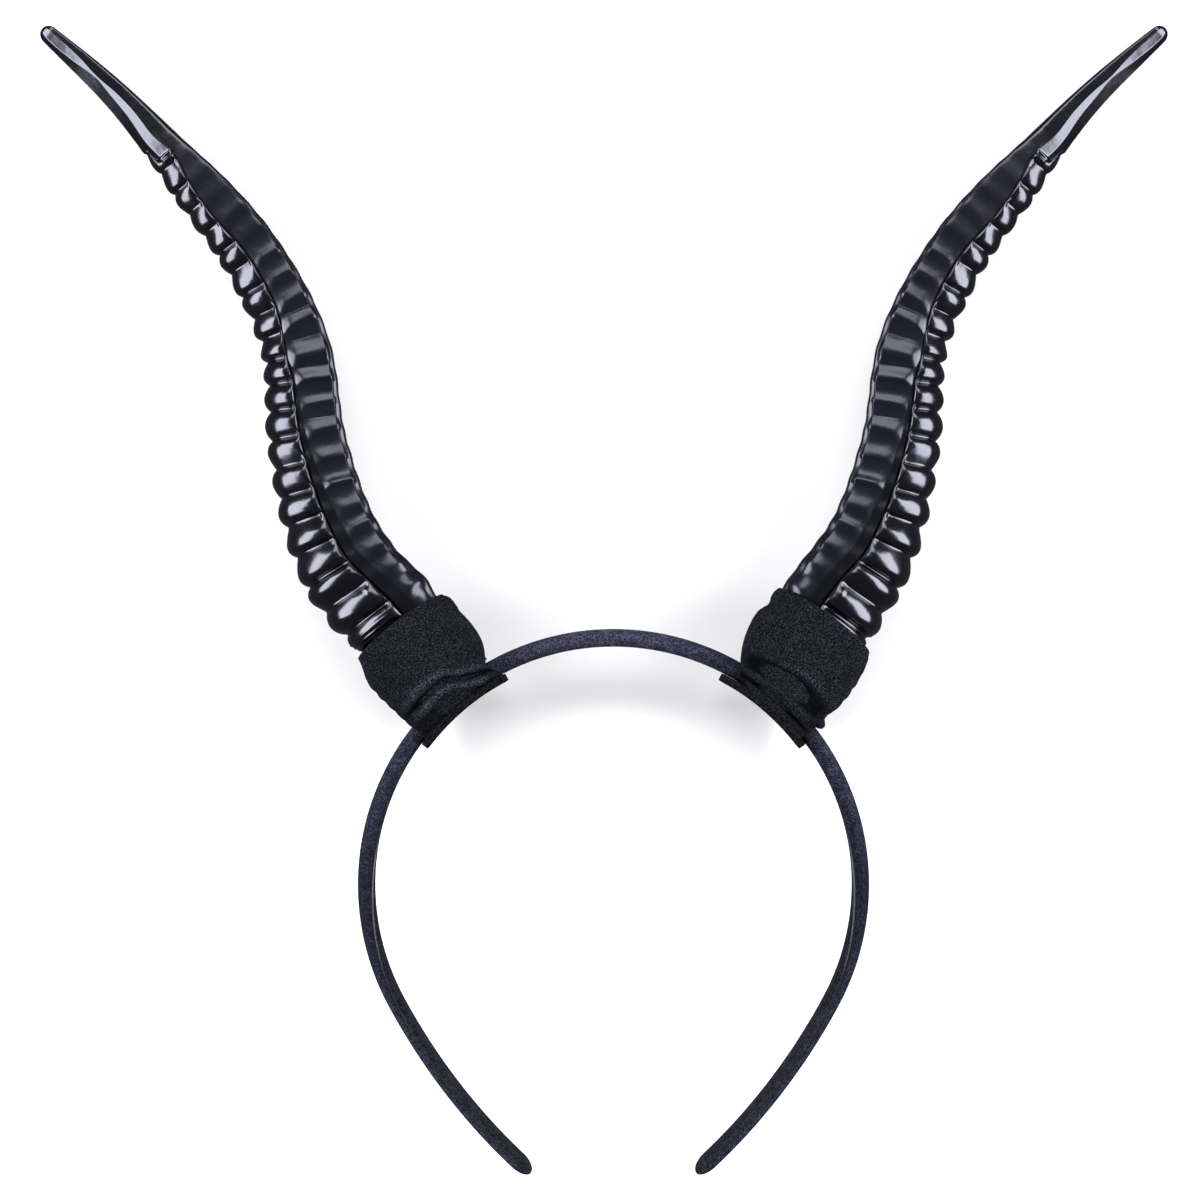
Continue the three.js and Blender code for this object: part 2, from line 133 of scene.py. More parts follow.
# Ribbed plate along the horn's inner side, and the chamfered edge below it
PLATE_SQUARENESS = 6.0
PLATE_SQUARENESS_AT_RIM = 2.0
PLATE_ROUNDS_OFF = (0.84, 0.97)
SHOULDER_WIDTH = 1.4
BLACK_STRIP = 3.0
BLACK_STRIP_GROWS = (0.55, 0.90)
BLACK_FADE = (0.2, 1.3)
RIB_HEIGHT = 0.95
RIB_RISE = 2.1
RIB_FALL = 1.05
RIB_CURL = 1.6
RIB_CURL_LENGTH = 2.0
RIB_START_LENGTH = 3.0
RIBS_GROW = (0.30, 0.50)
RIBS_FADE = (0.60, 0.90)
RIB_LOSS = 0.4
RIBS_FROM_INNER_EDGE = (0.6, 2.2)
PANEL_DEPTH = 0.24
PLATE_BLEND = 6.0
PLATE_BLEND_WIDTH = 0.3
RINGED_FROM = 0.8
EDGE_GROWS = (0.30, 0.42)
EDGE_START = -0.87
EDGE_HEIGHT = 0.58
EDGE_SLOPE = 0.15
EDGE_FALL = 14

# Smooth tip, with a bright facet that ends in two fine ridges
TIP_INNER_FALL = 0.10
TIP_INNER_SQUARENESS = 14
TIP_OUTER_SIDE = (0.6, 0.85)
FACET_END = 49.6
END_RIDGES = (49.2, 50.5)
END_RIDGE_HEIGHT = 0.45
END_RIDGE_WIDTH = 0.32
END_RIDGE_STARTS = (-0.2, 0.3)
END_RIDGE_ENDS = (0, 0.12)

# Fine ridges on the horn just above the sleeve's rim, and the length over which it shifts there
RIM_RIDGES = (0.9, 1.9, 3.2)
RIM_RIDGE_HEIGHT = 0.26
RIM_RIDGE_WIDTH = 0.22
RIM_RIDGE_STARTS = (-0.1, 0.1)
RIM_SHIFT_LENGTH = 20.0

# Sleeve
SLEEVE_LENGTH = 20.3
SLEEVE_WALL = 1.2
SLEEVE_HEM_ANGLE = math.radians(11.5)
SLEEVE_SQUARENESS = 1.6
GATHER_COUNT = 7
GATHER_DEPTH = 0.35
HEM_CROWN_ANGLE = math.radians(9.0)
FLAP_STARTS = (0.82, 1.0)
RIM_ZONE = 0.3
OUTER_SIDE_TURN = 0.55
FRONT_FULLNESS = 0.7
SCALLOP_DEPTH = 0.28
SCALLOP_COUNT = 8
SCALLOPS_START = (0.2, 0.4)
CROWN_DENT_DROP = 0.19
CROWN_DENT_LENGTH = 0.10
TAB_DROP = 0.785
TAB_NOTCH_DROP = 0.685
TAB_HALF_LENGTH = 0.045
TAB_NOTCH_SHARE = 0.35

# The sleeve's folds: widths of the two rolls and the crease, and edges about a fold's radius
BODY_ROLL_WIDTH = 1.1
HEM_ROLL_WIDTH = 1.0
CREASE_WIDTH = 0.4
# How dark the painted shade in the crease is for its depth
CREASE_SHADE = 1.3
OVERHANG_EDGE = (-0.6, 0.6)
FELTED_EDGE = (-2.5, 0.0)

# Small lumps of the knit: waves by chance with these numbers round the sleeve and down it
KNIT_LUMP = 0.10
KNIT_LUMP_WAVES = 9
KNIT_WAVES_ROUND = (24, 95)
KNIT_WAVES_DOWN = (8, 60)
KNIT_SEED = 5

# Pad
PAD_HALF_ANGLE = math.radians(13.2)
PAD_THICKNESS = 2.0
PAD_DEPTH = 22.0
PAD_ROUNDING = 0.5
PAD_OUTER_RADIUS = BAND_INNER_RADIUS * math.cos(BAND_FACET_ANGLE) - CLEARANCE
PAD_MID_RADIUS = PAD_OUTER_RADIUS - PAD_THICKNESS / 2
HEM_RADIUS = PAD_OUTER_RADIUS + CLEARANCE
PAD_RISE = 0.25
PAD_END_SHRINK = 0.12
PAD_END_STEEPNESS = 12
PAD_END_POWER = 0.4

# Numbers of points and steps of the meshes
HORN_STEP = 0.27
HORN_COLUMNS = 72
HORN_TIP_STEPS = 14
HORN_TIP_START = 0.12
HORN_CORE_RINGS = 6
COLUMN_SAMPLES = 2001
CURVE_DIVISIONS = 120
BAND_STEP = 0.5
BAND_TIP_STEPS = 12
BAND_COLUMNS = 90
SLEEVE_COLUMNS = 400
SLEEVE_ROWS = 150
SLEEVE_INNER_ROWS = 20
LIP_STEPS = 9
PAD_CORNER_STEPS = 6
PAD_STEP = 0.6
PAD_RINGS = 60


def table(columns, *rows):
    """Rows of numbers as one array for each named column."""
    return {name: np.array(values, float) for name, values in zip(columns.split(), zip(*rows))}


# The band's thickness and twist, the place of the seam across its front and how much painted
# light its cloth gets, by share of the way from the crown to a tip
BAND_TABLE = table(
    "along thickness twist seam paleness",
    (0.00, 1.00, 0.0, -0.50, 1.0),
    (0.40, 1.00, 0.0, -0.46, 0.4),
    (0.55, 0.96, 0.4, -0.36, 0.08),
    (0.68, 0.93, 0.7, -0.10, 0.28),
    (0.78, 0.88, 1.0, -0.04, 0.42),
    (1.00, 0.88, 1.0, -0.04, 0.42),
)

# Section of the band: a flat inner face and a crowned outer one, as shares of its two sizes
BAND_OUTLINE = table(
    "radial depth",
    (0.50, -0.13),
    (0.50, 0.13),
    (0.38, 0.36),
    (0.12, 0.50),
    (-0.34, 0.50),
    (-0.50, 0.36),
    (-0.50, -0.36),
    (-0.34, -0.50),
    (0.12, -0.50),
    (0.38, -0.36),
)

# The horn's line from the tip down to the rim, as shares of its reach, rise and lean back
HORN_LINE = table(
    "along out up back",
    (0.000, 1.000, 1.000, 1.00),
    (0.143, 0.784, 0.885, 0.93),
    (0.286, 0.591, 0.758, 0.82),
    (0.429, 0.409, 0.626, 0.68),
    (0.571, 0.282, 0.475, 0.52),
    (0.714, 0.244, 0.307, 0.34),
    (0.857, 0.162, 0.144, 0.16),
    (1.000, 0.000, 0.000, 0.00),
)

# The horn's section by share of the way from the tip to the rim, as in its solid
HORN_TABLE = table(
    "along width depth relief",
    (0.00, 0.17, 0.90, 0.00),
    (0.06, 0.22, 0.88, 0.00),
    (0.16, 0.30, 0.86, 0.00),
    (0.24, 0.40, 0.86, 0.45),
    (0.32, 0.54, 0.88, 0.60),
    (0.44, 0.63, 0.90, 0.75),
    (0.58, 0.71, 0.92, 0.90),
    (0.72, 0.81, 0.93, 0.95),
    (0.84, 0.93, 0.94, 1.00),
    (0.92, 1.02, 0.94, 1.00),
    (0.97, 1.03, 0.94, 1.00),
    (1.00, 0.94, 0.95, 0.70),
    (1.10, 0.83, 0.96, 0.00),
)

# Lines down the horn's front, across it from -1 inside to 1 outside. Ridge is the inner edge of
# the smooth tip's bright facet and then the groove beside the beads; edge is the facet's outer
# edge, and tilt is how steeply the facet falls outwards, in degrees.
HORN_LINES = table(
    "along ridge edge tilt",
    (0.000, -0.40, 0.42, 17.5),
    (0.025, -0.38, 0.50, 18),
    (0.065, -0.26, 0.32, 21),
    (0.102, -0.04, 0.08, 25),
    (0.135, -0.12, 0.26, 26),
    (0.170, -0.12, 0.36, 25),
    (0.215, 0.02, 0.54, 21),
    (0.255, -0.16, 0.40, 18),
    (0.300, 0.10, 0.50, 21),
    (0.360, 0.24, 0.55, 21),
    (0.430, 0.08, 0.42, 21),
    (0.510, 0.08, 0.42, 21),
    (0.584, 0.28, 0.55, 21),
    (0.620, 0.20, 0.50, 21),
    (0.690, 0.12, 0.45, 21),
    (0.760, 0.05, 0.40, 21),
    (0.840, -0.06, 0.32, 21),
    (0.880, -0.10, 0.30, 21),
    (0.920, -0.20, 0.22, 21),
    (1.000, -0.24, 0.18, 21),
    (1.100, -0.24, 0.18, 21),
)

# Places across the horn's front where its mesh is finer: the facet, the groove and the inner edge
FACET_COLUMN = 0.3
COLUMN_CROWDING = table(
    "place spread extra",
    (FACET_COLUMN, 0.10, 1.2),
    (0.0, 0.20, 1.8),
    (-0.86, 0.14, 2.4),
)

# Ranges of the ribs' chances: shares of their height, rise and fall, their shift in millimetres
# and their slant
RIB_VARIETY = table(
    "low high",
    (0.45, 1.15),
    (0.6, 1.4),
    (0.5, 2.0),
    (-0.9, 0.9),
    (-0.13, 0.13),
)

# Sections of the sleeve from its rim, 0, to its hem, 1, as shares of its half sizes at the rim, of
# the gathers' depth and of its slack. Crown is how far it swells by the crown, in millimetres.
SLEEVE_TABLE = table(
    "drop width depth gather slack crown",
    (0.00, 1.00, 1.00, 0.3, 0.0, 0.0),
    (0.06, 1.05, 1.02, 0.6, 0.3, 0.2),
    (0.22, 1.11, 1.03, 0.8, 0.8, 0.8),
    (0.44, 1.14, 1.02, 0.5, 1.0, 1.7),
    (0.64, 1.12, 1.02, 0.4, 0.9, 2.0),
    (0.77, 1.07, 1.01, 1.0, 0.5, 1.5),
    (0.88, 1.02, 0.91, 1.6, 0.2, 0.6),
    (1.00, 0.98, 0.78, 0.8, 0.0, 0.0),
)

# Folds across each sleeve's front, by angle from the crown in degrees: the radius of the body's
# rolled edge, the hollow under it, the hem's roll and the crease under that, and their strength.
LEFT_FOLDS = table(
    "angle body hollow hem crease strength",
    (27.0, 69.0, 67.4, 65.8, 64.4, 0.0),
    (29.5, 69.4, 67.8, 66.0, 64.6, 0.6),
    (33.5, 70.9, 69.1, 66.9, 65.2, 0.9),
    (36.6, 72.3, 70.5, 68.1, 66.3, 1.0),
    (38.8, 74.6, 72.6, 70.1, 68.0, 1.0),
    (42.0, 75.3, 72.8, 70.7, 68.8, 1.0),
    (46.0, 75.4, 73.0, 70.5, 68.8, 0.9),
    (49.5, 75.0, 72.8, 70.4, 68.7, 0.3),
    (53.0, 75.0, 72.8, 70.4, 68.7, 0.0),
)
RIGHT_FOLDS = table(
    "angle body hollow hem crease strength",
    (27.0, 74.2, 71.2, 68.6, 67.4, 0.0),
    (31.5, 74.8, 71.8, 69.0, 67.4, 0.6),
    (36.9, 75.8, 72.2, 69.4, 67.3, 1.0),
    (40.8, 77.2, 72.8, 69.8, 67.3, 1.0),
    (44.5, 77.8, 73.0, 69.9, 67.2, 0.9),
    (49.0, 77.6, 73.0, 70.0, 67.2, 0.6),
    (51.0, 77.2, 73.0, 70.2, 67.2, 0.3),
    (53.0, 77.2, 73.6, 70.8, 67.2, 0.0),
)

# What differs between the left side and the right one. Lengths are in millimetres.
SIDE_PAIRS = {
    "name": ("left", "right"),
    "side": (-1, 1),
    # How far the rim climbs up the horn, lies towards the crown and arches down at its sides
    "rim_rise": (0.5, 4.6),
    "rim_shift": (2.3, 0.0),
    "rim_arch": (1.2, 1.3),
    # How far the cloth hangs towards the crown, and is drawn in there at the rim and below it
    "slack": (1.4, -0.6),
    "crown_trim": (0.0, 0.4),
    "crown_dent": (0.0, 1.5),
    # The tab at the hem's outer end, and how far the hem's flap opens towards the crown
    "tab": (0.0, 1.7),
    "flap_angle": (math.radians(3.5), 0.0),
    # How far the body hangs over the hem, and the rolls, the hollow and the crease
    "folds": (LEFT_FOLDS, RIGHT_FOLDS),
    "overhang": (1.3, 0.3),
    "body_roll": (1.1, 0.6),
    "hem_roll": (1.5, 0.8),
    "hollow_depth": (1.8, 2.1),
    "hollow_width": (0.6, 3.3),
    "crease_depth": (0.3, 1.5),
    # How dark the painted shade in the hollow is for its depth, and how much darker the cloth is along
    # the hem
    "hollow_shade": (1.3, 0.6),
    "felted": (0.3, 0.0),
}
SIDES = [dict(zip(SIDE_PAIRS, values)) for values in zip(*SIDE_PAIRS.values())]


def smooth_step(low, high, value):
    """0 below low, 1 above high and an even slope between."""
    share = np.clip((value - low) / (high - low), 0, 1)
    return share * share * (3 - 2 * share)


def hermite(start, leave, end, arrive, t):
    """Points of a cubic curve between two points with given slopes."""
    start_part = (1 + 2 * t) * (1 - t) ** 2 * start + t * (1 - t) ** 2 * leave
    return start_part + t * t * (3 - 2 * t) * end + t * t * (t - 1) * arrive


def read(rows, column, place, key="along"):
    """Values of one column of a table at places along it, on a smooth curve through the rows."""
    keys, values = rows[key], rows[column]
    place = np.clip(place, keys[0], keys[-1])
    row = np.clip(np.searchsorted(keys, place, side="right") - 1, 0, len(keys) - 2)
    before = np.maximum(np.arange(len(keys)) - 1, 0)
    after = np.minimum(np.arange(len(keys)) + 1, len(keys) - 1)
    slope = (values[after] - values[before]) / (keys[after] - keys[before])
    span = keys[row + 1] - keys[row]
    t = (place - keys[row]) / span
    return hermite(values[row], span * slope[row], values[row + 1], span * slope[row + 1], t)


def smooth_line(points, divisions):
    """Closely spaced points on a smooth curve through the given ones."""
    ends = np.vstack((2 * points[0] - points[1], points, 2 * points[-1] - points[-2]))
    t = (np.arange(divisions) / divisions)[:, None]
    spans = [
        hermite(start, (end - before) / 2, end, (after - start) / 2, t)
        for before, start, end, after in zip(ends, ends[1:], ends[2:], ends[3:])
    ]
    return np.vstack((*spans, points[-1]))


def line_lengths(points):
    """Length along a line of points at each of them."""
    steps = np.linalg.norm(np.diff(points, axis=0), axis=1)
    return np.concatenate(([0.0], np.cumsum(steps)))


def unit(vectors):
    return vectors / np.linalg.norm(vectors, axis=-1, keepdims=True)


def arc_point(angle, radius, z=0.0):
    """Point at an angle from the crown and a radius about the middle of the band's arc."""
    angle, radius, z = np.broadcast_arrays(angle, radius, z)
    return np.stack((radius * np.sin(angle), radius * np.cos(angle), z), axis=-1)


def outline_height(across, squareness):
    """Height of a rounded outline over a place across it; squareness 1 is an ellipse."""
    power = 2 * squareness
    return np.maximum(0, 1 - np.abs(across) ** power) ** (1 / power)


# The middle of the band's arc in the frame, from the boxes of the solids
band_low, band_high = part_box("headband")
pad_low, pad_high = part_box("pad_left")
CENTRE = np.array((
    (band_low.x + band_high.x) / 2 / METRES,
    band_high.y / METRES - BAND_OUTER_RADIUS * math.cos(BAND_FACET_ANGLE),
    (pad_low.z + pad_high.z) / 2 / METRES,
))


def corner_values(grid):
    """The values of a grid at the four corners of each of its quads."""
    return np.stack((grid[:-1, :-1], grid[:-1, 1:], grid[1:, 1:], grid[1:, :-1]), axis=-1)


def make_mesh(name, rings, turned=False, joined=False, ends=(None, None), uv=None, fields=None):
    """A closed mesh object through rings of points, with its surface lengths and named fields."""
    count, sides = rings.shape[:2]
    points = rings.reshape(-1, 3)
    bands = count if joined else count - 1
    ring = np.arange(bands)[:, None] * sides
    after = ((np.arange(bands) + 1) % count)[:, None] * sides
    here = np.arange(sides)[None, :]
    beside = (here + 1) % sides
    quads = np.stack((ring + here, ring + beside, after + beside, after + here), axis=-1).reshape(-1, 4)
    fans = []
    for end, first, flipped in ((ends[0], 0, True), (ends[1], (count - 1) * sides, False)):
        if end is None:
            continue
        tip = len(points)
        points = np.vstack((points, end))
        fan = np.stack((np.full(sides, tip), first + here[0], first + beside[0]), axis=-1)
        fans.append(fan[:, ::-1] if flipped else fan)
    faces = quads.tolist() + [face for fan in fans for face in fan.tolist()]
    if turned:
        faces = [face[::-1] for face in faces]
    mesh = bpy.data.meshes.new(name)
    mesh.from_pydata(((points + CENTRE) * METRES).tolist(), [], faces)
    mesh.polygons.foreach_set("use_smooth", np.ones(len(faces), bool))
    if uv is not None:
        corners = np.stack([corner_values(grid) for grid in uv], axis=-1)
        if turned:
            corners = corners[:, :, ::-1]
        flat = corners.reshape(-1, 2) * METRES
        loops = np.zeros((len(mesh.loops), 2), np.float32)
        loops[: len(flat)] = flat
        mesh.uv_layers.new(name="surface").data.foreach_set("uv", loops.ravel())
    for field, values in (fields or {}).items():
        whole = np.zeros(len(mesh.vertices), np.float32)
        whole[: values.size] = values.ravel()
        mesh.attributes.new(field, "FLOAT", "POINT").data.foreach_set("value", whole)
    mesh.validate()
    piece = bpy.data.objects.new(name, mesh)
    bpy.context.scene.collection.objects.link(piece)
    return piece


def sharpen(piece, places):
    """Keeps the shading crisp where the places across a section change sign."""
    mesh, sides = piece.data, len(places)
    before = np.flatnonzero((places[:-1] >= 0) != (places[1:] >= 0))
    ends = np.zeros(2 * len(mesh.edges), np.int32)
    mesh.edges.foreach_get("vertices", ends)
    column = ends.reshape(-1, 2) % sides
    crisp = (column[:, 0] == column[:, 1]) & np.isin(column[:, 0], (*before, *(before + 1)))
    mesh.edges.foreach_set("use_edge_sharp", crisp)


def surface_lengths(rings):
    """Lengths round and along a grid of rings, with the first column repeated at the end."""
    wrapped = np.concatenate((rings, rings[:, :1]), axis=1)
    round_it = np.linalg.norm(np.diff(wrapped, axis=1), axis=-1)
    around = np.concatenate((np.zeros((len(rings), 1)), np.cumsum(round_it, axis=1)), axis=1)
    around *= around[:, -1].mean() / around[:, -1:]
    middle = line_lengths(rings.mean(axis=1))
    return around, np.repeat(middle[:, None], wrapped.shape[1], axis=1)


def place(piece, node, slot, material):
    """Lets a piece stand for its solid, ride with the body and take its material."""
    piece.data.materials.append(material)
    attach(piece, "root")
    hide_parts(node)
    return piece


# Band

def band_station(length):
    """Places on the band's middle line, and the ways out from it, at lengths from the crown."""
    half, side = np.abs(length), np.where(length < 0, -1.0, 1.0)
    arc_length = BAND_MID_RADIUS * BAND_ARC_ANGLE
    past = np.maximum(half - arc_length, 0) / ARM_BEND_RADIUS
    heading = np.minimum(half, arc_length) / BAND_MID_RADIUS + past
    spot = arc_point(np.minimum(heading, BAND_ARC_ANGLE), BAND_MID_RADIUS)
    spot += arc_point(heading, ARM_BEND_RADIUS) - arc_point(heading - past, ARM_BEND_RADIUS)
    outward = arc_point(heading, 1.0)
    spot[..., 0] *= side
    outward[..., 0] *= side
    return spot, outward


def band_outline(columns):
    """The band's section as a smooth closed line, as shares of its thickness and depth."""
    corners = np.stack((BAND_OUTLINE["radial"], BAND_OUTLINE["depth"]), axis=-1)
    count = len(corners)
    looped = np.vstack((corners[-2:], corners, corners[:3]))
    line = smooth_line(looped, CURVE_DIVISIONS)[2 * CURVE_DIVISIONS:(count + 2) * CURVE_DIVISIONS + 1]
    lengths = line_lengths(line)
    even = np.linspace(0, lengths[-1], columns, endpoint=False)
    return np.stack([np.interp(even, lengths, line[:, axis]) for axis in range(2)], axis=-1)


def band_rings(lengths):
    """Sections of the band at lengths from the crown, with the fields for its cloth."""
    spot, outward = band_station(lengths)
    along = np.abs(lengths) / BAND_HALF_LENGTH
    twist = (ARM_TWIST * read(BAND_TABLE, "twist", along))[:, None]
    radial = outward * np.cos(twist) - FRONT * np.sin(twist)
    depth = FRONT * np.cos(twist) + outward * np.sin(twist)
    into_tip = np.maximum(0, 1 - (BAND_HALF_LENGTH - np.abs(lengths)) / BAND_TIP_ROUNDING)
    rounding = np.sqrt(1 - into_tip ** 2)[:, None]
    thick = rounding * BAND_THICKNESS * read(BAND_TABLE, "thickness", along)[:, None]
    outline = band_outline(BAND_COLUMNS)
    from_seam = (outline[None, :, 0] - read(BAND_TABLE, "seam", along)[:, None]) * thick
    on_front = smooth_step(*FRONT_FACE, outline[:, 1])[None]
    seam = SEAM_DEPTH * on_front * np.exp(-((from_seam / SEAM_WIDTH) ** 2)) * rounding
    deep = outline[None, :, 1] * BAND_DEPTH * rounding - seam
    wide = outline[None, :, 0] * thick
    rings = spot[:, None] + radial[:, None] * wide[..., None] + depth[:, None] * deep[..., None]
    shows = on_front * smooth_step(*SEAM_SHOWS, along)[:, None]
    line = shows * np.exp(-(((from_seam - SEAM_LINE_SHIFT) / SEAM_LINE_WIDTH) ** 2))
    kept = 1 - SEAM_LINE_LOSS * smooth_step(*SEAM_LINE_FADES, along)
    line = line * (smooth_step(*SEAM_LINE_SHOWS, along) * kept)[:, None]
    strip = smooth_step(*STRIP_EDGE, from_seam) * shows
    # Painted light: brightest at the crown and on the band's outer half, with painted shade on the
    # inner half
    outer_half = smooth_step(*OUTER_HALF, outline[:, 0])[None]
    band_light = read(BAND_TABLE, "paleness", along)[:, None]
    band_light = band_light * (INNER_HALF_LIGHT + (1 - INNER_HALF_LIGHT) * outer_half)
    return rings, {"strip": strip, "line": line, "band_light": band_light}


def make_band(material):
    body = BAND_HALF_LENGTH - BAND_TIP_ROUNDING
    steps = round(2 * body / BAND_STEP)
    tip = body + BAND_TIP_ROUNDING * np.sin(np.linspace(0, math.pi / 2, BAND_TIP_STEPS)[1:-1])
    lengths = np.concatenate((-tip[::-1], np.linspace(-body, body, steps), tip))
    rings, fields = band_rings(lengths)
    ends = [band_station(np.array([length]))[0] for length in (-BAND_HALF_LENGTH, BAND_HALF_LENGTH)]
    piece = make_mesh("headband_cloth", rings, ends=ends, uv=surface_lengths(rings), fields=fields)
    return place(piece, "headband", "band_cloth", material)


# Horns. The points count outwards from the middle plane, so one horn serves both sides.

def rim_point(side):
    rim = arc_point(SEAT_ANGLE, BAND_OUTER_RADIUS) + arc_point(STAND_ANGLE, SLEEVE_LENGTH)
    return rim + np.array((side * HORN_PAIR_OFFSET, 0.0, 0.0))


def seat_point():
    half_opening = HORN_WIDTH * read(HORN_TABLE, "width", BASE_SHARE) / 2 - HORN_WALL
    return arc_point(SEAT_ANGLE, math.sqrt((BAND_OUTER_RADIUS + CLEARANCE) ** 2 - half_opening ** 2))


def sleeve_half_width(along):
    return HORN_WIDTH * read(HORN_TABLE, "width", along) / 2 + CLEARANCE + SLEEVE_WALL


def sleeve_half_depth():
    widest = np.argmax(HORN_TABLE["width"])
    grip = HORN_WIDTH * HORN_TABLE["width"][widest] * HORN_TABLE["depth"][widest] / 2
    return grip + CLEARANCE + SLEEVE_WALL


def horn_lean():
    """How far the horn leans back, so that its back lies on the surface with the sleeves' backs."""
    width = HORN_WIDTH * read(HORN_TABLE, "width", REST_SHARE)
    back_of_horn = width * read(HORN_TABLE, "depth", REST_SHARE) / 2
    sleeve_backs = SLEEVE_TABLE["depth"] * sleeve_half_depth() + SLEEVE_TABLE["gather"] * GATHER_DEPTH
    return (sleeve_backs.max() - back_of_horn) / read(HORN_LINE, "back", REST_SHARE)


class Horn:
    """The middle line of a horn, with the axes of its sections."""

    def __init__(self, settings):
        shares = np.stack([HORN_LINE[name] for name in ("out", "up", "back")], axis=-1)
        scales = np.array((HORN_REACH, HORN_RISE, -horn_lean()))
        points = np.vstack((rim_point(settings["side"]) + shares * scales, seat_point()))
        self.line = smooth_line(points, CURVE_DIVISIONS)
        self.lengths = line_lengths(self.line)
        self.length = self.lengths[-1]
        self.to_rim = self.lengths[-1 - CURVE_DIVISIONS]
        self.rim_length = self.to_rim - settings["rim_rise"]

    def spot(self, length):
        return np.stack([np.interp(length, self.lengths, axis) for axis in self.line.T], axis=-1)

    def at(self, length):
        """Places on the line and the axes there; past the rim they turn square to the band."""
        low = np.clip(length - CLEARANCE, 0, self.length)
        high = np.clip(length + CLEARANCE, 0, self.length)
        towards_tip = unit(self.spot(low) - self.spot(high))
        past = (np.maximum(0, length - self.to_rim) / (self.length - self.to_rim))[..., None]
        towards_tip = unit(towards_tip * (1 - past) + arc_point(SEAT_ANGLE, 1.0) * past)
        front = unit(FRONT - towards_tip * (towards_tip @ FRONT)[..., None])
        return self.spot(length), front, np.cross(towards_tip, front)


def beads_passed(length):
    """Beads passed at a length from the tip, counted from 0 at the first bead's crest."""
    growth = BEAD_PITCH_GROWTH / 2
    inside = np.maximum(BEAD_PITCH_AT_TIP ** 2 + 4 * growth * (length - FIRST_BEAD), 0)
    return (np.sqrt(inside) - BEAD_PITCH_AT_TIP) / (2 * growth)


def length_at_bead(bead):
    return FIRST_BEAD + BEAD_PITCH_AT_TIP * bead + BEAD_PITCH_GROWTH / 2 * bead * bead


FIRST_VALLEY = length_at_bead(-0.5)


def horn_columns():
    """Places across the front, from 1 outside to -1 inside, with more where it bends."""
    turn = np.linspace(0, math.pi, COLUMN_SAMPLES)
    weight = np.ones_like(turn)
    for spot, spread, extra in zip(*COLUMN_CROWDING.values()):
        weight += extra * np.exp(-(((turn - math.acos(spot)) / spread) ** 2))
    passed = np.cumsum(weight)
    even = np.linspace(passed[0], passed[-1], HORN_COLUMNS + 1)
    return np.cos(np.interp(even, passed, turn))


def tip_height(across, ridge, edge, slope):
    """Section of the smooth tip: a gentle inner side, a tilted facet and a steep outer side."""
    inside = np.clip((ridge - across) / (1 + ridge), 0, 1)
    inner = (1 - TIP_INNER_FALL * inside) * (1 - inside ** TIP_INNER_SQUARENESS) ** 0.5
    at_edge = 1 - slope * (edge - ridge)
    facet = 1 - slope * (across - ridge)
    outer = at_edge * np.clip((1 - across) / (1 - edge), 0, 1)
    return np.where(across < ridge, inner, np.where(across < edge, facet, outer))


def ringed_height(across, ridge, along, facet_share):
    """Section of the ringed part: a flat plate with a chamfered edge, and a faceted row of beads."""
    round_one = outline_height(across, HORN_SQUARENESS)
    end_height = outline_height(np.array(BEAD_FACET_END), HORN_SQUARENESS)
    into_facet = (across - ridge) / (BEAD_FACET_END - ridge)
    facet = 1 - (1 - end_height) * into_facet
    share = facet_share * smooth_step(*BEAD_FACETS_START, along)
    share = share * (1 - BEAD_FACET_LOSS * smooth_step(*BEAD_FACETS_FADE, along))
    share = share * smooth_step(*FACET_LEAVES_RIDGE, into_facet)
    share = share * (1 - smooth_step(*FACET_MEETS_SIDE, into_facet))
    row = round_one + (facet - round_one) * share
    to_rim = smooth_step(*PLATE_ROUNDS_OFF, along)
    squareness = PLATE_SQUARENESS + (PLATE_SQUARENESS_AT_RIM - PLATE_SQUARENESS) * to_rim
    plate = outline_height(np.minimum(across, 0), squareness)
    edge_share = smooth_step(*EDGE_GROWS, along)
    into_edge = np.clip((EDGE_START - across) / (1 + EDGE_START), 0, 1)
    edge = EDGE_HEIGHT * (1 - EDGE_SLOPE * into_edge) * np.sqrt(1 - into_edge ** EDGE_FALL)
    plate = np.where(across < EDGE_START, plate + (edge - plate) * edge_share, plate)
    return np.where(across > np.maximum(ridge, 0), row, plate)


def bead_depth(beads, along, from_groove, size, sizes, leans):
    """How deep the bead row lies under its outline: valleys between beads, and their inner ends."""
    nearest = np.clip(np.round(beads), 0, BEAD_COUNT - 1).astype(int)
    phase = np.clip(beads - nearest, -0.5, 0.5)
    phase = phase + leans[nearest] * (0.25 - phase ** 2)
    wave = (np.cos(math.pi * phase) ** 2 + VALLEY_ROUNDING) ** BEAD_SHARPNESS
    end_length = BEAD_END_ROUNDING * (1 + BEAD_END_GROWTH * smooth_step(*BEAD_ENDS_GROW, along))
    rounding = np.clip(from_groove / (end_length * size), 0, 1)
    end = GROOVE_DEPTH * size * (1 - np.sqrt(1 - (1 - rounding) ** 2))
    valley = BEAD_RELIEF * sizes[nearest] * (1 - wave) * smooth_step(*VALLEY_STARTS, rounding)
    return np.hypot(end, valley)


def black_strip(along):
    """Width of the sunk glossy strip between the beads and the plate."""
    return BLACK_STRIP * smooth_step(*BLACK_STRIP_GROWS, along)


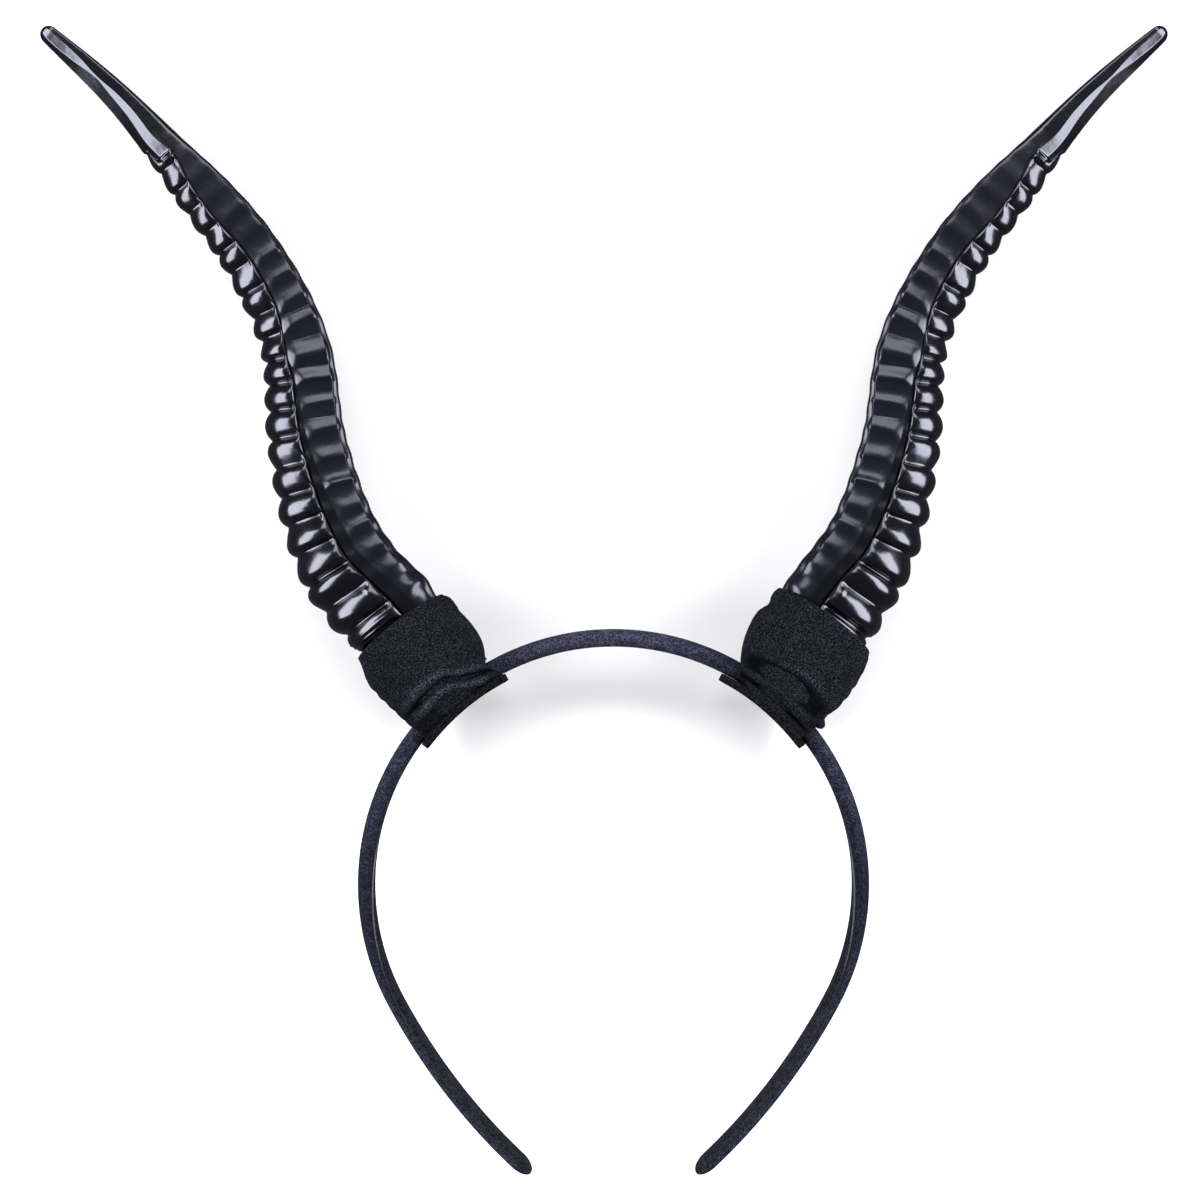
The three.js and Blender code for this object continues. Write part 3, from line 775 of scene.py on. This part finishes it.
def plate_depth(length, beads, along, from_groove, from_inner, size, random):
    """How deep the plate lies under its outline: a shoulder at the groove, ribs and panels."""
    heights, rises, falls, shifts, slants = (
        random.uniform(low, high, BEAD_COUNT + 1) for low, high in zip(*RIB_VARIETY.values())
    )
    valleys = np.round(beads - 0.5)
    rib = np.clip(valleys + 1, 0, BEAD_COUNT).astype(int)
    into_plate = -from_groove - black_strip(along)
    curl = RIB_CURL * np.exp(-np.maximum(into_plate, 0) / RIB_CURL_LENGTH)
    off = length - length_at_bead(valleys + 0.5) - shifts[rib] - slants[rib] * from_groove - curl
    width = np.where(off < 0, RIB_RISE * rises[rib], RIB_FALL * falls[rib])
    rib_up = RIB_HEIGHT * heights[rib] * np.exp(-((off / width) ** 2))
    rib_up *= smooth_step(*RIBS_GROW, along) * (1 - RIB_LOSS * smooth_step(*RIBS_FADE, along))
    rib_up *= smooth_step(*RIBS_FROM_INNER_EDGE, from_inner)
    panel = PANEL_DEPTH * (1 - np.cos(2 * math.pi * (beads - 0.5))) / 2
    shoulder = SHOULDER_DEPTH * size * (1 - smooth_step(0, SHOULDER_WIDTH, into_plate))
    return shoulder + panel - rib_up * smooth_step(0.0, RIB_START_LENGTH, into_plate)


def ridges(length, places, height, width):
    """Fine ridges across the horn at given lengths."""
    return sum(height * np.exp(-(((length - place) / width) ** 2)) for place in places)


def horn_sections(horn, lengths):
    """The front of the horn at each length, as places outwards and forwards, and where its plate is."""
    random = np.random.default_rng(HORN_SEED)
    sizes = 1 + random.uniform(-1, 1, BEAD_COUNT) * BEAD_SIZE_VARIETY
    leans = random.uniform(-1, 1, BEAD_COUNT) * BEAD_LEAN_VARIETY
    column = horn_columns()[None, :]
    length = lengths[:, None]
    along = length / horn.to_rim
    tip_share = np.clip(1 - length / HORN_TIP_ROUNDING, 0, 1)
    half_width = HORN_WIDTH * read(HORN_TABLE, "width", along) / 2 * np.sqrt(1 - tip_share ** 2)
    half_depth = half_width * read(HORN_TABLE, "depth", along)
    ridge, edge = read(HORN_LINES, "ridge", along), read(HORN_LINES, "edge", along)
    into_facet = np.clip(column / FACET_COLUMN, 0, 1)
    beyond = np.clip((column - FACET_COLUMN) / (1 - FACET_COLUMN), 0, 1)
    outside = ridge + (edge - ridge) * into_facet + (1 - edge) * beyond
    across = np.where(column < 0, ridge + column * (1 + ridge), outside)

    tilt = np.radians(read(HORN_LINES, "tilt", along))
    slope = np.tan(tilt) * half_width / np.maximum(half_depth, CLEARANCE)
    faceted = tip_height(across, ridge, edge, slope)
    off_side = 1 - smooth_step(*TIP_OUTER_SIDE, across)
    outer_first = FIRST_VALLEY + (FACET_END - FIRST_VALLEY) * off_side
    spread = 1 + PLATE_BLEND * (1 - smooth_step(ridge - PLATE_BLEND_WIDTH, ridge, across))
    ringed = smooth_step(-spread, RINGED_FROM * spread, length - outer_first)
    beads = beads_passed(length)
    facets = random.uniform(*BEAD_FACET_VARIETY, BEAD_COUNT)
    facet_share = BEAD_FACET_SHARE * np.interp(beads, np.arange(BEAD_COUNT), facets)
    height = faceted + (ringed_height(across, ridge, along, facet_share) - faceted) * ringed

    relief = read(HORN_TABLE, "relief", along)
    size = np.sqrt(half_width / GROOVE_HALF_WIDTH)
    from_groove = (across - ridge) * half_width
    from_inner = (1 + across) * half_width
    row = bead_depth(beads, along, from_groove, size, sizes, leans) * relief
    plate = plate_depth(length, beads, along, from_groove, from_inner, size, random)
    sunk = np.where(from_groove > 0, row, plate * relief) * ringed
    on_facet = smooth_step(*END_RIDGE_STARTS, from_groove)
    on_facet = on_facet * (1 - smooth_step(*END_RIDGE_ENDS, across - edge))
    sunk = sunk - on_facet * ridges(length, END_RIDGES, END_RIDGE_HEIGHT, END_RIDGE_WIDTH)
    rim_places = [horn.rim_length - above for above in RIM_RIDGES]
    on_beads = smooth_step(*RIM_RIDGE_STARTS, across)
    sunk = sunk - on_beads * ridges(length, rim_places, RIM_RIDGE_HEIGHT, RIM_RIDGE_WIDTH)

    spot = np.stack((across * half_width, height * half_depth), axis=-1)
    upwards = np.maximum(height, LEAST_HEIGHT) / half_depth
    normal = unit(np.stack((across / half_width, upwards), axis=-1))
    bare = spot - normal * np.minimum(sunk, DEEPEST_SHARE * half_width)[..., None]
    return bare, smooth_step(*BLACK_FADE, -from_groove - black_strip(along)) * ringed


def make_horn(settings, material):
    """A horn whose back mirrors every second point of its front, with a hollow base."""
    side = settings["side"]
    horn = Horn(settings)
    tip_turn = np.linspace(HORN_TIP_START, math.pi / 2, HORN_TIP_STEPS)
    tip = HORN_TIP_ROUNDING * (1 - np.cos(tip_turn))
    body = np.arange(HORN_TIP_ROUNDING + HORN_STEP, horn.length, HORN_STEP)
    lengths = np.concatenate((tip, body, [horn.length]))
    half, plate = horn_sections(horn, lengths)
    near_rim = smooth_step(horn.rim_length - RIM_SHIFT_LENGTH, horn.rim_length, lengths)
    half[..., 0] -= settings["rim_shift"] * near_rim[:, None]
    back = slice(-3, 1, -2)
    section = np.concatenate((half, half[:, back] * np.array((1.0, -1.0))), axis=1)
    fields = np.concatenate((plate, plate[:, back]), axis=1)
    core_lengths = np.linspace(horn.length, horn.to_rim, HORN_CORE_RINGS)
    core = core_section(horn, core_lengths, section.shape[1])
    core[..., 0] -= settings["rim_shift"]
    rings = []
    for where, shape in ((lengths, section), (core_lengths, core)):
        spot, front, outer = horn.at(where)
        across = outer[:, None] * shape[..., :1]
        rings.append(spot[:, None] + across + front[:, None] * shape[..., 1:])
    ends = [horn.at(np.array([end]))[0] for end in (0.0, horn.to_rim - HORN_WALL)]
    flip = np.array((side, 1.0, 1.0))
    rings = np.concatenate(rings)
    rings[..., 2] = np.maximum(rings[..., 2], LIFT - CENTRE[2])
    piece = make_mesh(
        f"horn_{settings['name']}_shell", rings * flip, turned=side < 0,
        ends=[end * flip for end in ends], fields={"plate": fields},
    )
    columns = horn_columns()
    sharpen(piece, np.concatenate((columns, columns[back])))
    return place(piece, f"horn_{settings['name']}", "horn_plastic", material)


def core_section(horn, lengths, sides):
    """The plain rounded section of the horn's hollow base."""
    turn = np.linspace(0, 2 * math.pi, sides, endpoint=False)[None, :]
    along = (lengths / horn.to_rim)[:, None]
    half_width = HORN_WIDTH * read(HORN_TABLE, "width", along) / 2 - HORN_WALL
    half_depth = half_width * read(HORN_TABLE, "depth", along)
    return np.stack((half_width * np.cos(turn), half_depth * np.sin(turn)), axis=-1)


# Sleeves

def rounded_outline(turn, squareness):
    def bend(value):
        return np.sign(value) * np.abs(value) ** (1 / squareness)
    return bend(np.cos(turn)), bend(np.sin(turn))


def fold_height(settings, spots):
    """How far the folds on the sleeve's front stand out at places on it, and their painted light and
    shade.
    """
    angle = np.degrees(np.arctan2(spots[..., 0], spots[..., 1]))
    radius = np.hypot(spots[..., 0], spots[..., 1])
    body, hollow, hem, crease, strength = (
        np.interp(angle, settings["folds"]["angle"], settings["folds"][name])
        for name in ("body", "hollow", "hem", "crease", "strength")
    )

    def ridge(place, height, width):
        return height * np.exp(-(((radius - place) / width) ** 2))

    lifted = ridge(body, settings["body_roll"], BODY_ROLL_WIDTH)
    lifted = lifted + ridge(hem, settings["hem_roll"], HEM_ROLL_WIDTH)
    sunk = ridge(hollow, settings["hollow_depth"], settings["hollow_width"])
    creased = ridge(crease, settings["crease_depth"], CREASE_WIDTH)
    # Painted highlights on the two rolls, painted shade in the hollow and the crease
    fold_light_and_hem_tone = (lifted - settings["hollow_shade"] * sunk - CREASE_SHADE * creased) * strength
    below = 1 - smooth_step(*OVERHANG_EDGE, radius - hollow)
    sunk = sunk + creased + settings["overhang"] * below
    smooth_hem = 1 - smooth_step(*FELTED_EDGE, radius - hem)
    return (lifted - sunk) * strength, fold_light_and_hem_tone - settings["felted"] * smooth_hem


def knit_lumps(turn, drop, random):
    """Small uneven lumps of a knitted surface."""
    lumps = 0
    for around in random.integers(*KNIT_WAVES_ROUND, KNIT_LUMP_WAVES):
        along, phase = random.uniform(*KNIT_WAVES_DOWN), random.uniform(0, 2 * math.pi)
        lumps = lumps + np.sin(around * turn + along * drop + phase)
    return lumps / math.sqrt(KNIT_LUMP_WAVES)


def sleeve_rings(horn, settings, drops, inset):
    """Rings of the sleeve at shares of the way down, and the painted light and shade of its folds
    there, darker along the hem.
    """
    turn = np.linspace(0, 2 * math.pi, SLEEVE_COLUMNS, endpoint=False)[None, :]
    drop = drops[:, None]
    rim, front, outer = horn.at(np.array(horn.rim_length))
    full_width = sleeve_half_width(horn.rim_length / horn.to_rim)
    half_width = full_width * read(SLEEVE_TABLE, "width", drop, "drop") - inset
    half_depth = sleeve_half_depth() * read(SLEEVE_TABLE, "depth", drop, "drop") - inset
    across, forward = rounded_outline(turn, SLEEVE_SQUARENESS)
    outside = float(inset == 0)
    gather = GATHER_DEPTH * read(SLEEVE_TABLE, "gather", drop, "drop") * np.sin(GATHER_COUNT * turn)
    lumps = KNIT_LUMP * knit_lumps(turn, drop, np.random.default_rng(KNIT_SEED))
    swell = outside * (gather * np.maximum(0, np.sin(turn)) + lumps)
    wide = across * (half_width + swell) - settings["slack"] * read(SLEEVE_TABLE, "slack", drop, "drop")
    crown_side = np.maximum(0, -across)
    at_rim = 1 - smooth_step(0, RIM_ZONE, drop)
    wide = wide - crown_side * read(SLEEVE_TABLE, "crown", drop, "drop")
    wide = wide + at_rim * (crown_side * settings["crown_trim"] - settings["rim_shift"])
    dent = np.exp(-(((drop - CROWN_DENT_DROP) / CROWN_DENT_LENGTH) ** 2))
    wide = wide + crown_side * settings["crown_dent"] * dent
    outer_side = np.exp(-((np.minimum(turn, 2 * math.pi - turn) / OUTER_SIDE_TURN) ** 2))
    tab = np.exp(-(((drop - TAB_DROP) / TAB_HALF_LENGTH) ** 4))
    tab = tab - TAB_NOTCH_SHARE * np.exp(-(((drop - TAB_NOTCH_DROP) / TAB_HALF_LENGTH) ** 2))
    wide = wide + outside * settings["tab"] * outer_side * tab
    scallops = np.abs(np.sin(math.pi * SCALLOP_COUNT * drop))
    scallops = scallops * smooth_step(*SCALLOPS_START, drop)
    wide = wide + outside * SCALLOP_DEPTH * outer_side * scallops
    deep = forward * (half_depth + swell)
    above = rim + outer * wide[..., None] + front * deep[..., None]
    hem_width = full_width * SLEEVE_TABLE["width"][-1]
    flap = settings["flap_angle"] * smooth_step(*FLAP_STARTS, drop)
    hem_angle = np.where(wide < 0, HEM_CROWN_ANGLE + flap, SLEEVE_HEM_ANGLE)
    below = arc_point(SEAT_ANGLE + wide / hem_width * hem_angle, HEM_RADIUS, deep)
    downwards = unit(below.mean(axis=(0, 1)) - rim)
    rings = above + (below - above) * drop[..., None]
    rings = rings + downwards * (settings["rim_arch"] * across ** 2 * at_rim)[..., None]
    on_front = outside * np.maximum(0, np.sin(turn)) ** FRONT_FULLNESS
    fold, fold_light_and_hem_tone = fold_height(settings, rings)
    rings = rings + FRONT * (on_front * fold)[..., None]
    rings[..., 2] = np.maximum(rings[..., 2], LIFT - CENTRE[2])
    return rings, on_front * fold_light_and_hem_tone


def make_sleeve(settings, material):
    """A knitted wall from rim to hem, closed by a round lip at both ends."""
    side = settings["side"]
    horn = Horn(settings)
    outside, fold_light_and_hem_tone = sleeve_rings(horn, settings, np.linspace(0, 1, SLEEVE_ROWS), 0.0)
    inside, _ = sleeve_rings(horn, settings, np.linspace(1, 0, SLEEVE_INNER_ROWS), SLEEVE_WALL)
    lip_turn = np.linspace(0, math.pi, LIP_STEPS)[1:-1]
    lips = []
    for outer_ring, inner_ring, sign in ((outside[-1], inside[0], 1), (outside[0], inside[-1], -1)):
        middle = (outer_ring + inner_ring) / 2
        away = (outer_ring - inner_ring) / 2
        toward = unit(outside[-1].mean(axis=0) - outside[0].mean(axis=0)) * sign
        ring = [
            middle + away * np.cos(angle) + toward * np.sin(angle) * SLEEVE_WALL / 2
            for angle in (lip_turn if sign > 0 else lip_turn[::-1])
        ]
        lips.append(np.stack(ring))
    rings = np.concatenate((outside, lips[0], inside, lips[1])) * np.array((side, 1.0, 1.0))
    looped = np.concatenate((rings, rings[:1]))
    around, _ = surface_lengths(looped)
    front_line = line_lengths(looped[:, SLEEVE_COLUMNS // 4])
    along = np.repeat(front_line[:, None], SLEEVE_COLUMNS + 1, axis=1)
    piece = make_mesh(
        f"sleeve_{settings['name']}_knit", rings, turned=side < 0, joined=True, uv=(around, along),
        fields={"fold_light_and_hem_tone": fold_light_and_hem_tone},
    )
    place(piece, f"sleeve_{settings['name']}", "sleeve_knit", material)
    return piece


# Pads

def make_pad(settings, material):
    """A felt pad that follows the band's inner face, with softly rounded edges."""
    half_thick, half_deep = PAD_THICKNESS / 2, PAD_DEPTH / 2
    corner = np.linspace(0, math.pi / 2, PAD_CORNER_STEPS)
    straight = half_deep - PAD_ROUNDING
    flat = half_thick - PAD_ROUNDING
    outline = []
    for radial, deep, start in ((1, 1, 0), (-1, 1, 1), (-1, -1, 2), (1, -1, 3)):
        for angle in corner + start * math.pi / 2:
            outline.append((
                radial * flat + PAD_ROUNDING * math.cos(angle),
                deep * straight + PAD_ROUNDING * math.sin(angle),
            ))
    filled = []
    for here, after in zip(outline, outline[1:] + outline[:1]):
        steps = max(1, round(math.dist(here, after) / PAD_STEP))
        for share in np.arange(steps) / steps:
            filled.append([start + (end - start) * share for start, end in zip(here, after)])
    outline = np.array(filled)
    side = settings["side"]
    angles = side * SEAT_ANGLE + np.linspace(-PAD_HALF_ANGLE, PAD_HALF_ANGLE, PAD_RINGS)
    from_end = 1 - np.abs(np.linspace(-1, 1, PAD_RINGS))
    fullness = np.minimum(1, PAD_END_STEEPNESS * from_end) ** PAD_END_POWER
    shrink = (1 - PAD_END_SHRINK * (1 - fullness))[:, None]
    thick = outline[None, :, 0] + PAD_RISE * (outline[None, :, 0] > 0)
    rings = arc_point(
        angles[:, None], PAD_MID_RADIUS + thick * shrink, outline[None, :, 1] * shrink
    )
    ends = [arc_point(angles[0], PAD_MID_RADIUS)[None], arc_point(angles[-1], PAD_MID_RADIUS)[None]]
    piece = make_mesh(f"pad_{settings['name']}_felt", rings, turned=True, ends=ends)
    place(piece, f"pad_{settings['name']}", "pad_felt", material)
    return piece


# Materials. Colours are linear; the scale of noise is in waves a metre, a bump's distance in metres.
BEAD_COLOUR = (0.0010, 0.0010, 0.0022, 1)
PLATE_COLOUR = (0.0036, 0.0036, 0.0068, 1)
BEAD_ROUGHNESS = 0.19
PLATE_ROUGHNESS = 0.26
SMEAR_ROUGHNESS = (-0.06, 0.07)
HORN_IOR = 1.72
HORN_SPECULAR = (0.5, 0.32)
HORN_TINT = (0.82, 0.82, 1.0, 1)
KNIT_STRETCH = (1700.0, 3000.0, 1.0)
KNIT_DARK = (0.0009, 0.0012, 0.0022, 1)
KNIT_PALE = (0.074, 0.078, 0.106, 1)
GRAIN_SHADE = 0.5
GRAIN_HEIGHT = 0.6
# Painted light on the knit's folds: its gain, the colour share on flat cloth and the least share in the
# deepest painted shade
FOLD_LIGHT_GAIN = 0.75
FOLD_LIGHT_BASE = 0.42
DARKEST_SHADE = 0.03
WEAVE_PITCH_M = 0.00075
WEAVE_WOBBLE_M = 0.0005
WEAVE_SLANT = 0.7
THREAD_SHADE = 0.35
FUZZ_SHADE = 0.65
BAND_DARK = (0.0012, 0.0013, 0.0034, 1)
BAND_PALE = (0.0660, 0.0700, 0.1200, 1)
STRIP_DARK = (0.0010, 0.0011, 0.0019, 1)
STRIP_PALE = (0.0560, 0.0570, 0.0740, 1)
LINE_COLOUR = (0.115, 0.115, 0.130, 1)
FELT_DARK = (0.0012, 0.0014, 0.0022, 1)
FELT_PALE = (0.017, 0.018, 0.022, 1)


class Finish:
    """A material's nodes, with short ways to add and join them."""

    def __init__(self, name):
        self.material = bpy.data.materials.new(name)
        self.material.use_nodes = True
        self.nodes = self.material.node_tree.nodes
        self.links = self.material.node_tree.links
        self.shader = next(node for node in self.nodes if node.type == "BSDF_PRINCIPLED")

    def add(self, kind, settings=None, **inputs):
        node = self.nodes.new(kind)
        for name, value in (settings or {}).items():
            setattr(node, name, value)
        for name, value in inputs.items():
            self.put(node.inputs[name.replace("_", " ")], value)
        return node

    def put(self, socket, value):
        """Gives a socket a value, or joins another node's output to it."""
        if isinstance(value, bpy.types.NodeSocket):
            self.links.new(value, socket)
        else:
            socket.default_value = value

    def sum(self, operation, *values):
        node = self.nodes.new("ShaderNodeMath")
        node.operation = operation
        for socket, value in zip(node.inputs, values):
            self.put(socket, value)
        return node.outputs[0]

    def field(self, name):
        """The values that a mesh holds under a name."""
        return self.add("ShaderNodeAttribute", {"attribute_name": name}).outputs["Fac"]

    def noise(self, scale, detail=3.0, roughness=0.5, where=None):
        node = self.add("ShaderNodeTexNoise", Scale=scale, Detail=detail, Roughness=roughness)
        self.links.new(where or self.add("ShaderNodeTexCoord").outputs["Object"], node.inputs["Vector"])
        return node.outputs["Fac"]

    def blend(self, share, low, high):
        """A number that goes from low to high as share goes from 0 to 1."""
        node = self.add("ShaderNodeMapRange", Value=share)
        self.put(node.inputs["To Min"], low)
        self.put(node.inputs["To Max"], high)
        return node.outputs["Result"]

    def span(self, value, low, high):
        """0 where the value is below low, 1 where it is above high."""
        node = self.add("ShaderNodeMapRange", Value=value)
        self.put(node.inputs["From Min"], low)
        self.put(node.inputs["From Max"], high)
        return node.outputs["Result"]

    def colours(self, share, low, high):
        """A colour that goes from low to high as share goes from 0 to 1."""
        node = self.add("ShaderNodeMix", {"data_type": "RGBA"}, Factor=share)
        sockets = {socket.identifier: socket for socket in node.inputs}
        self.put(sockets["A_Color"], low)
        self.put(sockets["B_Color"], high)
        return next(socket for socket in node.outputs if socket.identifier == "Result_Color")

    def bump(self, height, distance, strength=1.0, normal=None):
        node = self.add("ShaderNodeBump", Strength=strength, Distance=distance)
        self.links.new(height, node.inputs["Height"])
        if normal is not None:
            self.links.new(normal, node.inputs["Normal"])
        return node.outputs["Normal"]

    def set(self, **inputs):
        for name, value in inputs.items():
            self.put(self.shader.inputs[name.replace("_", " ")], value)


def horn_plastic():
    """Glossy black plastic, duller on the plate, with faint smears and ripples."""
    finish = Finish("horn_plastic")
    plate = finish.field("plate")
    smear = finish.noise(scale=90.0, detail=4.0, roughness=0.55)
    ripples = finish.noise(scale=160.0, detail=2.0)
    fine = finish.noise(scale=900.0, roughness=0.6)
    gloss = finish.blend(plate, BEAD_ROUGHNESS, PLATE_ROUGHNESS)
    gloss = finish.sum("ADD", gloss, finish.blend(smear, *SMEAR_ROUGHNESS))
    colour = finish.colours(plate, BEAD_COLOUR, PLATE_COLOUR)
    normal = finish.bump(ripples, distance=0.0004, strength=0.4)
    normal = finish.bump(fine, distance=0.00004, strength=0.5, normal=normal)
    finish.set(Base_Color=colour, Roughness=gloss, Normal=normal)
    finish.set(IOR=HORN_IOR, Specular_IOR_Level=finish.blend(plate, *HORN_SPECULAR))
    finish.set(Specular_Tint=HORN_TINT)
    return finish.material


def surface_place(finish):
    """The lengths round and along the surface, in metres."""
    return finish.add("ShaderNodeUVMap", {"uv_map": "surface"}).outputs["UV"]


def sleeve_knit():
    """Fine black knit: pale specks in short rows, with painted highlights on the folds' rolls and
    painted shade in their hollows.
    """
    finish = Finish("sleeve_knit")
    fold_light_and_hem_tone = finish.field("fold_light_and_hem_tone")
    stretched = finish.add("ShaderNodeVectorMath", {"operation": "MULTIPLY"})
    finish.put(stretched.inputs[0], surface_place(finish))
    finish.put(stretched.inputs[1], KNIT_STRETCH)
    dashes = finish.noise(scale=1.0, detail=1.0, where=stretched.outputs["Vector"])
    specks = finish.span(dashes, low=0.50, high=0.70)
    grains = finish.span(finish.noise(scale=2300.0, detail=1.0), low=0.44, high=0.68)
    patches = finish.span(finish.noise(scale=260.0, roughness=0.6), low=0.25, high=0.75)
    soft = finish.noise(scale=140.0, roughness=0.6)
    shade = finish.sum("MULTIPLY_ADD", grains, GRAIN_SHADE, specks)
    shade = finish.sum("MULTIPLY", shade, finish.blend(patches, low=0.55, high=1.15))
    # Painted highlights on the folds' rolls and painted shade in their hollows and creases
    lift = finish.sum("MULTIPLY_ADD", fold_light_and_hem_tone, FOLD_LIGHT_GAIN, FOLD_LIGHT_BASE)
    lift = finish.sum("MAXIMUM", lift, DARKEST_SHADE)
    shade = finish.sum("MULTIPLY", shade, lift)
    colour = finish.colours(shade, KNIT_DARK, KNIT_PALE)
    height = finish.sum("MULTIPLY_ADD", grains, GRAIN_HEIGHT, specks)
    normal = finish.bump(soft, distance=0.0010, strength=0.5)
    normal = finish.bump(height, distance=0.00025, strength=1.0, normal=normal)
    finish.set(Base_Color=colour, Roughness=0.9, Normal=normal)
    finish.set(Specular_IOR_Level=0.04)
    return finish.material


def band_cloth():
    """Satin cloth with a fine slanting weave and painted light, brightest at the crown and on the outer
    half; the strip inside the seam is greyer and darker.
    """
    finish = Finish("band_cloth")
    parts = finish.add("ShaderNodeSeparateXYZ", Vector=surface_place(finish))
    around, along = parts.outputs["X"], parts.outputs["Y"]
    strip = finish.field("strip")
    line = finish.field("line")
    band_light = finish.field("band_light")
    wobble = finish.noise(scale=500.0, detail=2.0)
    bent = finish.sum("MULTIPLY_ADD", wobble, WEAVE_WOBBLE_M, along)
    twill = finish.sum("MULTIPLY_ADD", around, WEAVE_SLANT, bent)
    turns = finish.sum("MULTIPLY", twill, 2 * math.pi / WEAVE_PITCH_M)
    threads = finish.sum("MULTIPLY_ADD", finish.sum("SINE", turns), 0.5, 0.5)
    fuzz = finish.span(finish.noise(scale=1800.0, detail=1.0), low=0.40, high=0.66)
    patches = finish.span(finish.noise(scale=420.0, roughness=0.6), low=0.28, high=0.72)
    shade = finish.sum("MULTIPLY", fuzz, FUZZ_SHADE)
    shade = finish.sum("MULTIPLY_ADD", threads, THREAD_SHADE, shade)
    shade = finish.sum("MULTIPLY", shade, finish.blend(patches, low=0.45, high=1.20))
    # Painted light along the band, brightest at the crown and on its outer half
    shade = finish.sum("MULTIPLY", shade, finish.blend(band_light, low=0.22, high=1.35))
    colour = finish.colours(shade, BAND_DARK, BAND_PALE)
    greyer = finish.colours(shade, STRIP_DARK, STRIP_PALE)
    colour = finish.colours(strip, colour, greyer)
    colour = finish.colours(line, colour, LINE_COLOUR)
    normal = finish.bump(threads, distance=0.00016, strength=0.9)
    normal = finish.bump(fuzz, distance=0.00012, strength=0.8, normal=normal)
    finish.set(Base_Color=colour, Roughness=0.50, Normal=normal)
    finish.set(Specular_IOR_Level=0.06, Specular_Tint=(0.8, 0.82, 1.0, 1))
    return finish.material


def pad_felt():
    """Dark felt with short uneven fibres."""
    finish = Finish("pad_felt")
    fibres = finish.span(finish.noise(scale=1500.0, detail=2.0, roughness=0.6), low=0.42, high=0.74)
    clumps = finish.span(finish.noise(scale=300.0, roughness=0.6), low=0.25, high=0.75)
    shade = finish.sum("MULTIPLY", fibres, finish.blend(clumps, low=0.4, high=1.3))
    colour = finish.colours(shade, FELT_DARK, FELT_PALE)
    normal = finish.bump(clumps, distance=0.0004, strength=0.4)
    normal = finish.bump(fibres, distance=0.0002, strength=0.8, normal=normal)
    finish.set(Base_Color=colour, Roughness=0.95, Normal=normal, Specular_IOR_Level=0.04)
    return finish.material


# Pieces
cloth, plastic, knit, felt = band_cloth(), horn_plastic(), sleeve_knit(), pad_felt()
make_band(cloth)
for settings in SIDES:
    make_horn(settings, plastic)
    make_sleeve(settings, knit)
    make_pad(settings, felt)

# Floor and light
FLOOR_HALF_M = 6.0
LIGHT_DISTANCE_M = 0.95
LIGHT_FROM_ZENITH = math.radians(60)
LIGHT_WIDTH_M = 1.15
LIGHT_HEIGHT_M = 0.56
LIGHT_RADIANCE = 10.0
TOP_LIGHT_SPOT_M = (0.0, 0.95, 0.95)
TOP_LIGHT_WIDTH_M = 1.2
TOP_LIGHT_HEIGHT_M = 0.5
TOP_LIGHT_RADIANCE = 5.5
WORLD_COLOUR = (0.92, 0.94, 1.0, 1)
WORLD_STRENGTH = 0.10
FLOOR_COLOUR = (0.82, 0.82, 0.83, 1)


def make_floor():
    mesh = bpy.data.meshes.new("floor")
    signs = ((-1, -1), (1, -1), (1, 1), (-1, 1))
    corners = [(x * FLOOR_HALF_M, y * FLOOR_HALF_M, 0) for x, y in signs]
    mesh.from_pydata(corners, [], [(0, 1, 2, 3)])
    floor = bpy.data.objects.new("floor", mesh)
    bpy.context.scene.collection.objects.link(floor)
    finish = Finish("floor")
    finish.set(Base_Color=FLOOR_COLOUR, Roughness=0.9, Specular_IOR_Level=0.1)
    mesh.materials.append(finish.material)
    floor.visible_glossy = False


def make_light(name, spot, width, height, radiance):
    """A soft rectangular light that faces the middle of the headband."""
    lamp = bpy.data.lights.new(name, "AREA")
    lamp.shape = "RECTANGLE"
    lamp.size, lamp.size_y = width, height
    lamp.energy = radiance * math.pi * width * height
    light = bpy.data.objects.new(name, lamp)
    light.location = spot
    light.rotation_mode = "QUATERNION"
    light.rotation_quaternion = (-Vector(spot)).to_track_quat("-Z", "Y")
    light.visible_camera = False
    bpy.context.scene.collection.objects.link(light)


make_floor()
for side, name in ((-1, "left_light"), (1, "right_light")):
    spot = (side * math.sin(LIGHT_FROM_ZENITH), 0.0, math.cos(LIGHT_FROM_ZENITH))
    spot = [LIGHT_DISTANCE_M * value for value in spot]
    make_light(name, spot, LIGHT_WIDTH_M, LIGHT_HEIGHT_M, LIGHT_RADIANCE)
make_light("top_light", TOP_LIGHT_SPOT_M, TOP_LIGHT_WIDTH_M, TOP_LIGHT_HEIGHT_M, TOP_LIGHT_RADIANCE)

world = bpy.data.worlds.new("studio")
bpy.context.scene.world = world
world.use_nodes = True
background = world.node_tree.nodes["Background"]
background.inputs["Color"].default_value = WORLD_COLOUR
background.inputs["Strength"].default_value = WORLD_STRENGTH
bpy.context.scene.view_settings.view_transform = "Standard"

# Camera, straight above, with the photograph's frame
PHOTO_WIDTH_M = 0.3294
PHOTO_CENTRE = (-0.0011, -0.0002)
PHOTO_PLANE_M = 0.008
CAMERA_LENS = 300.0
CLIP_END_SHARE = 4
camera_data = bpy.data.cameras.new("camera")
camera_data.lens = CAMERA_LENS
camera = bpy.data.objects.new("camera", camera_data)
bpy.context.scene.collection.objects.link(camera)
camera_height = PHOTO_WIDTH_M * CAMERA_LENS / camera_data.sensor_width
camera.location = (*PHOTO_CENTRE, PHOTO_PLANE_M + camera_height)
camera_data.clip_end = CLIP_END_SHARE * camera_height
bpy.context.scene.camera = camera
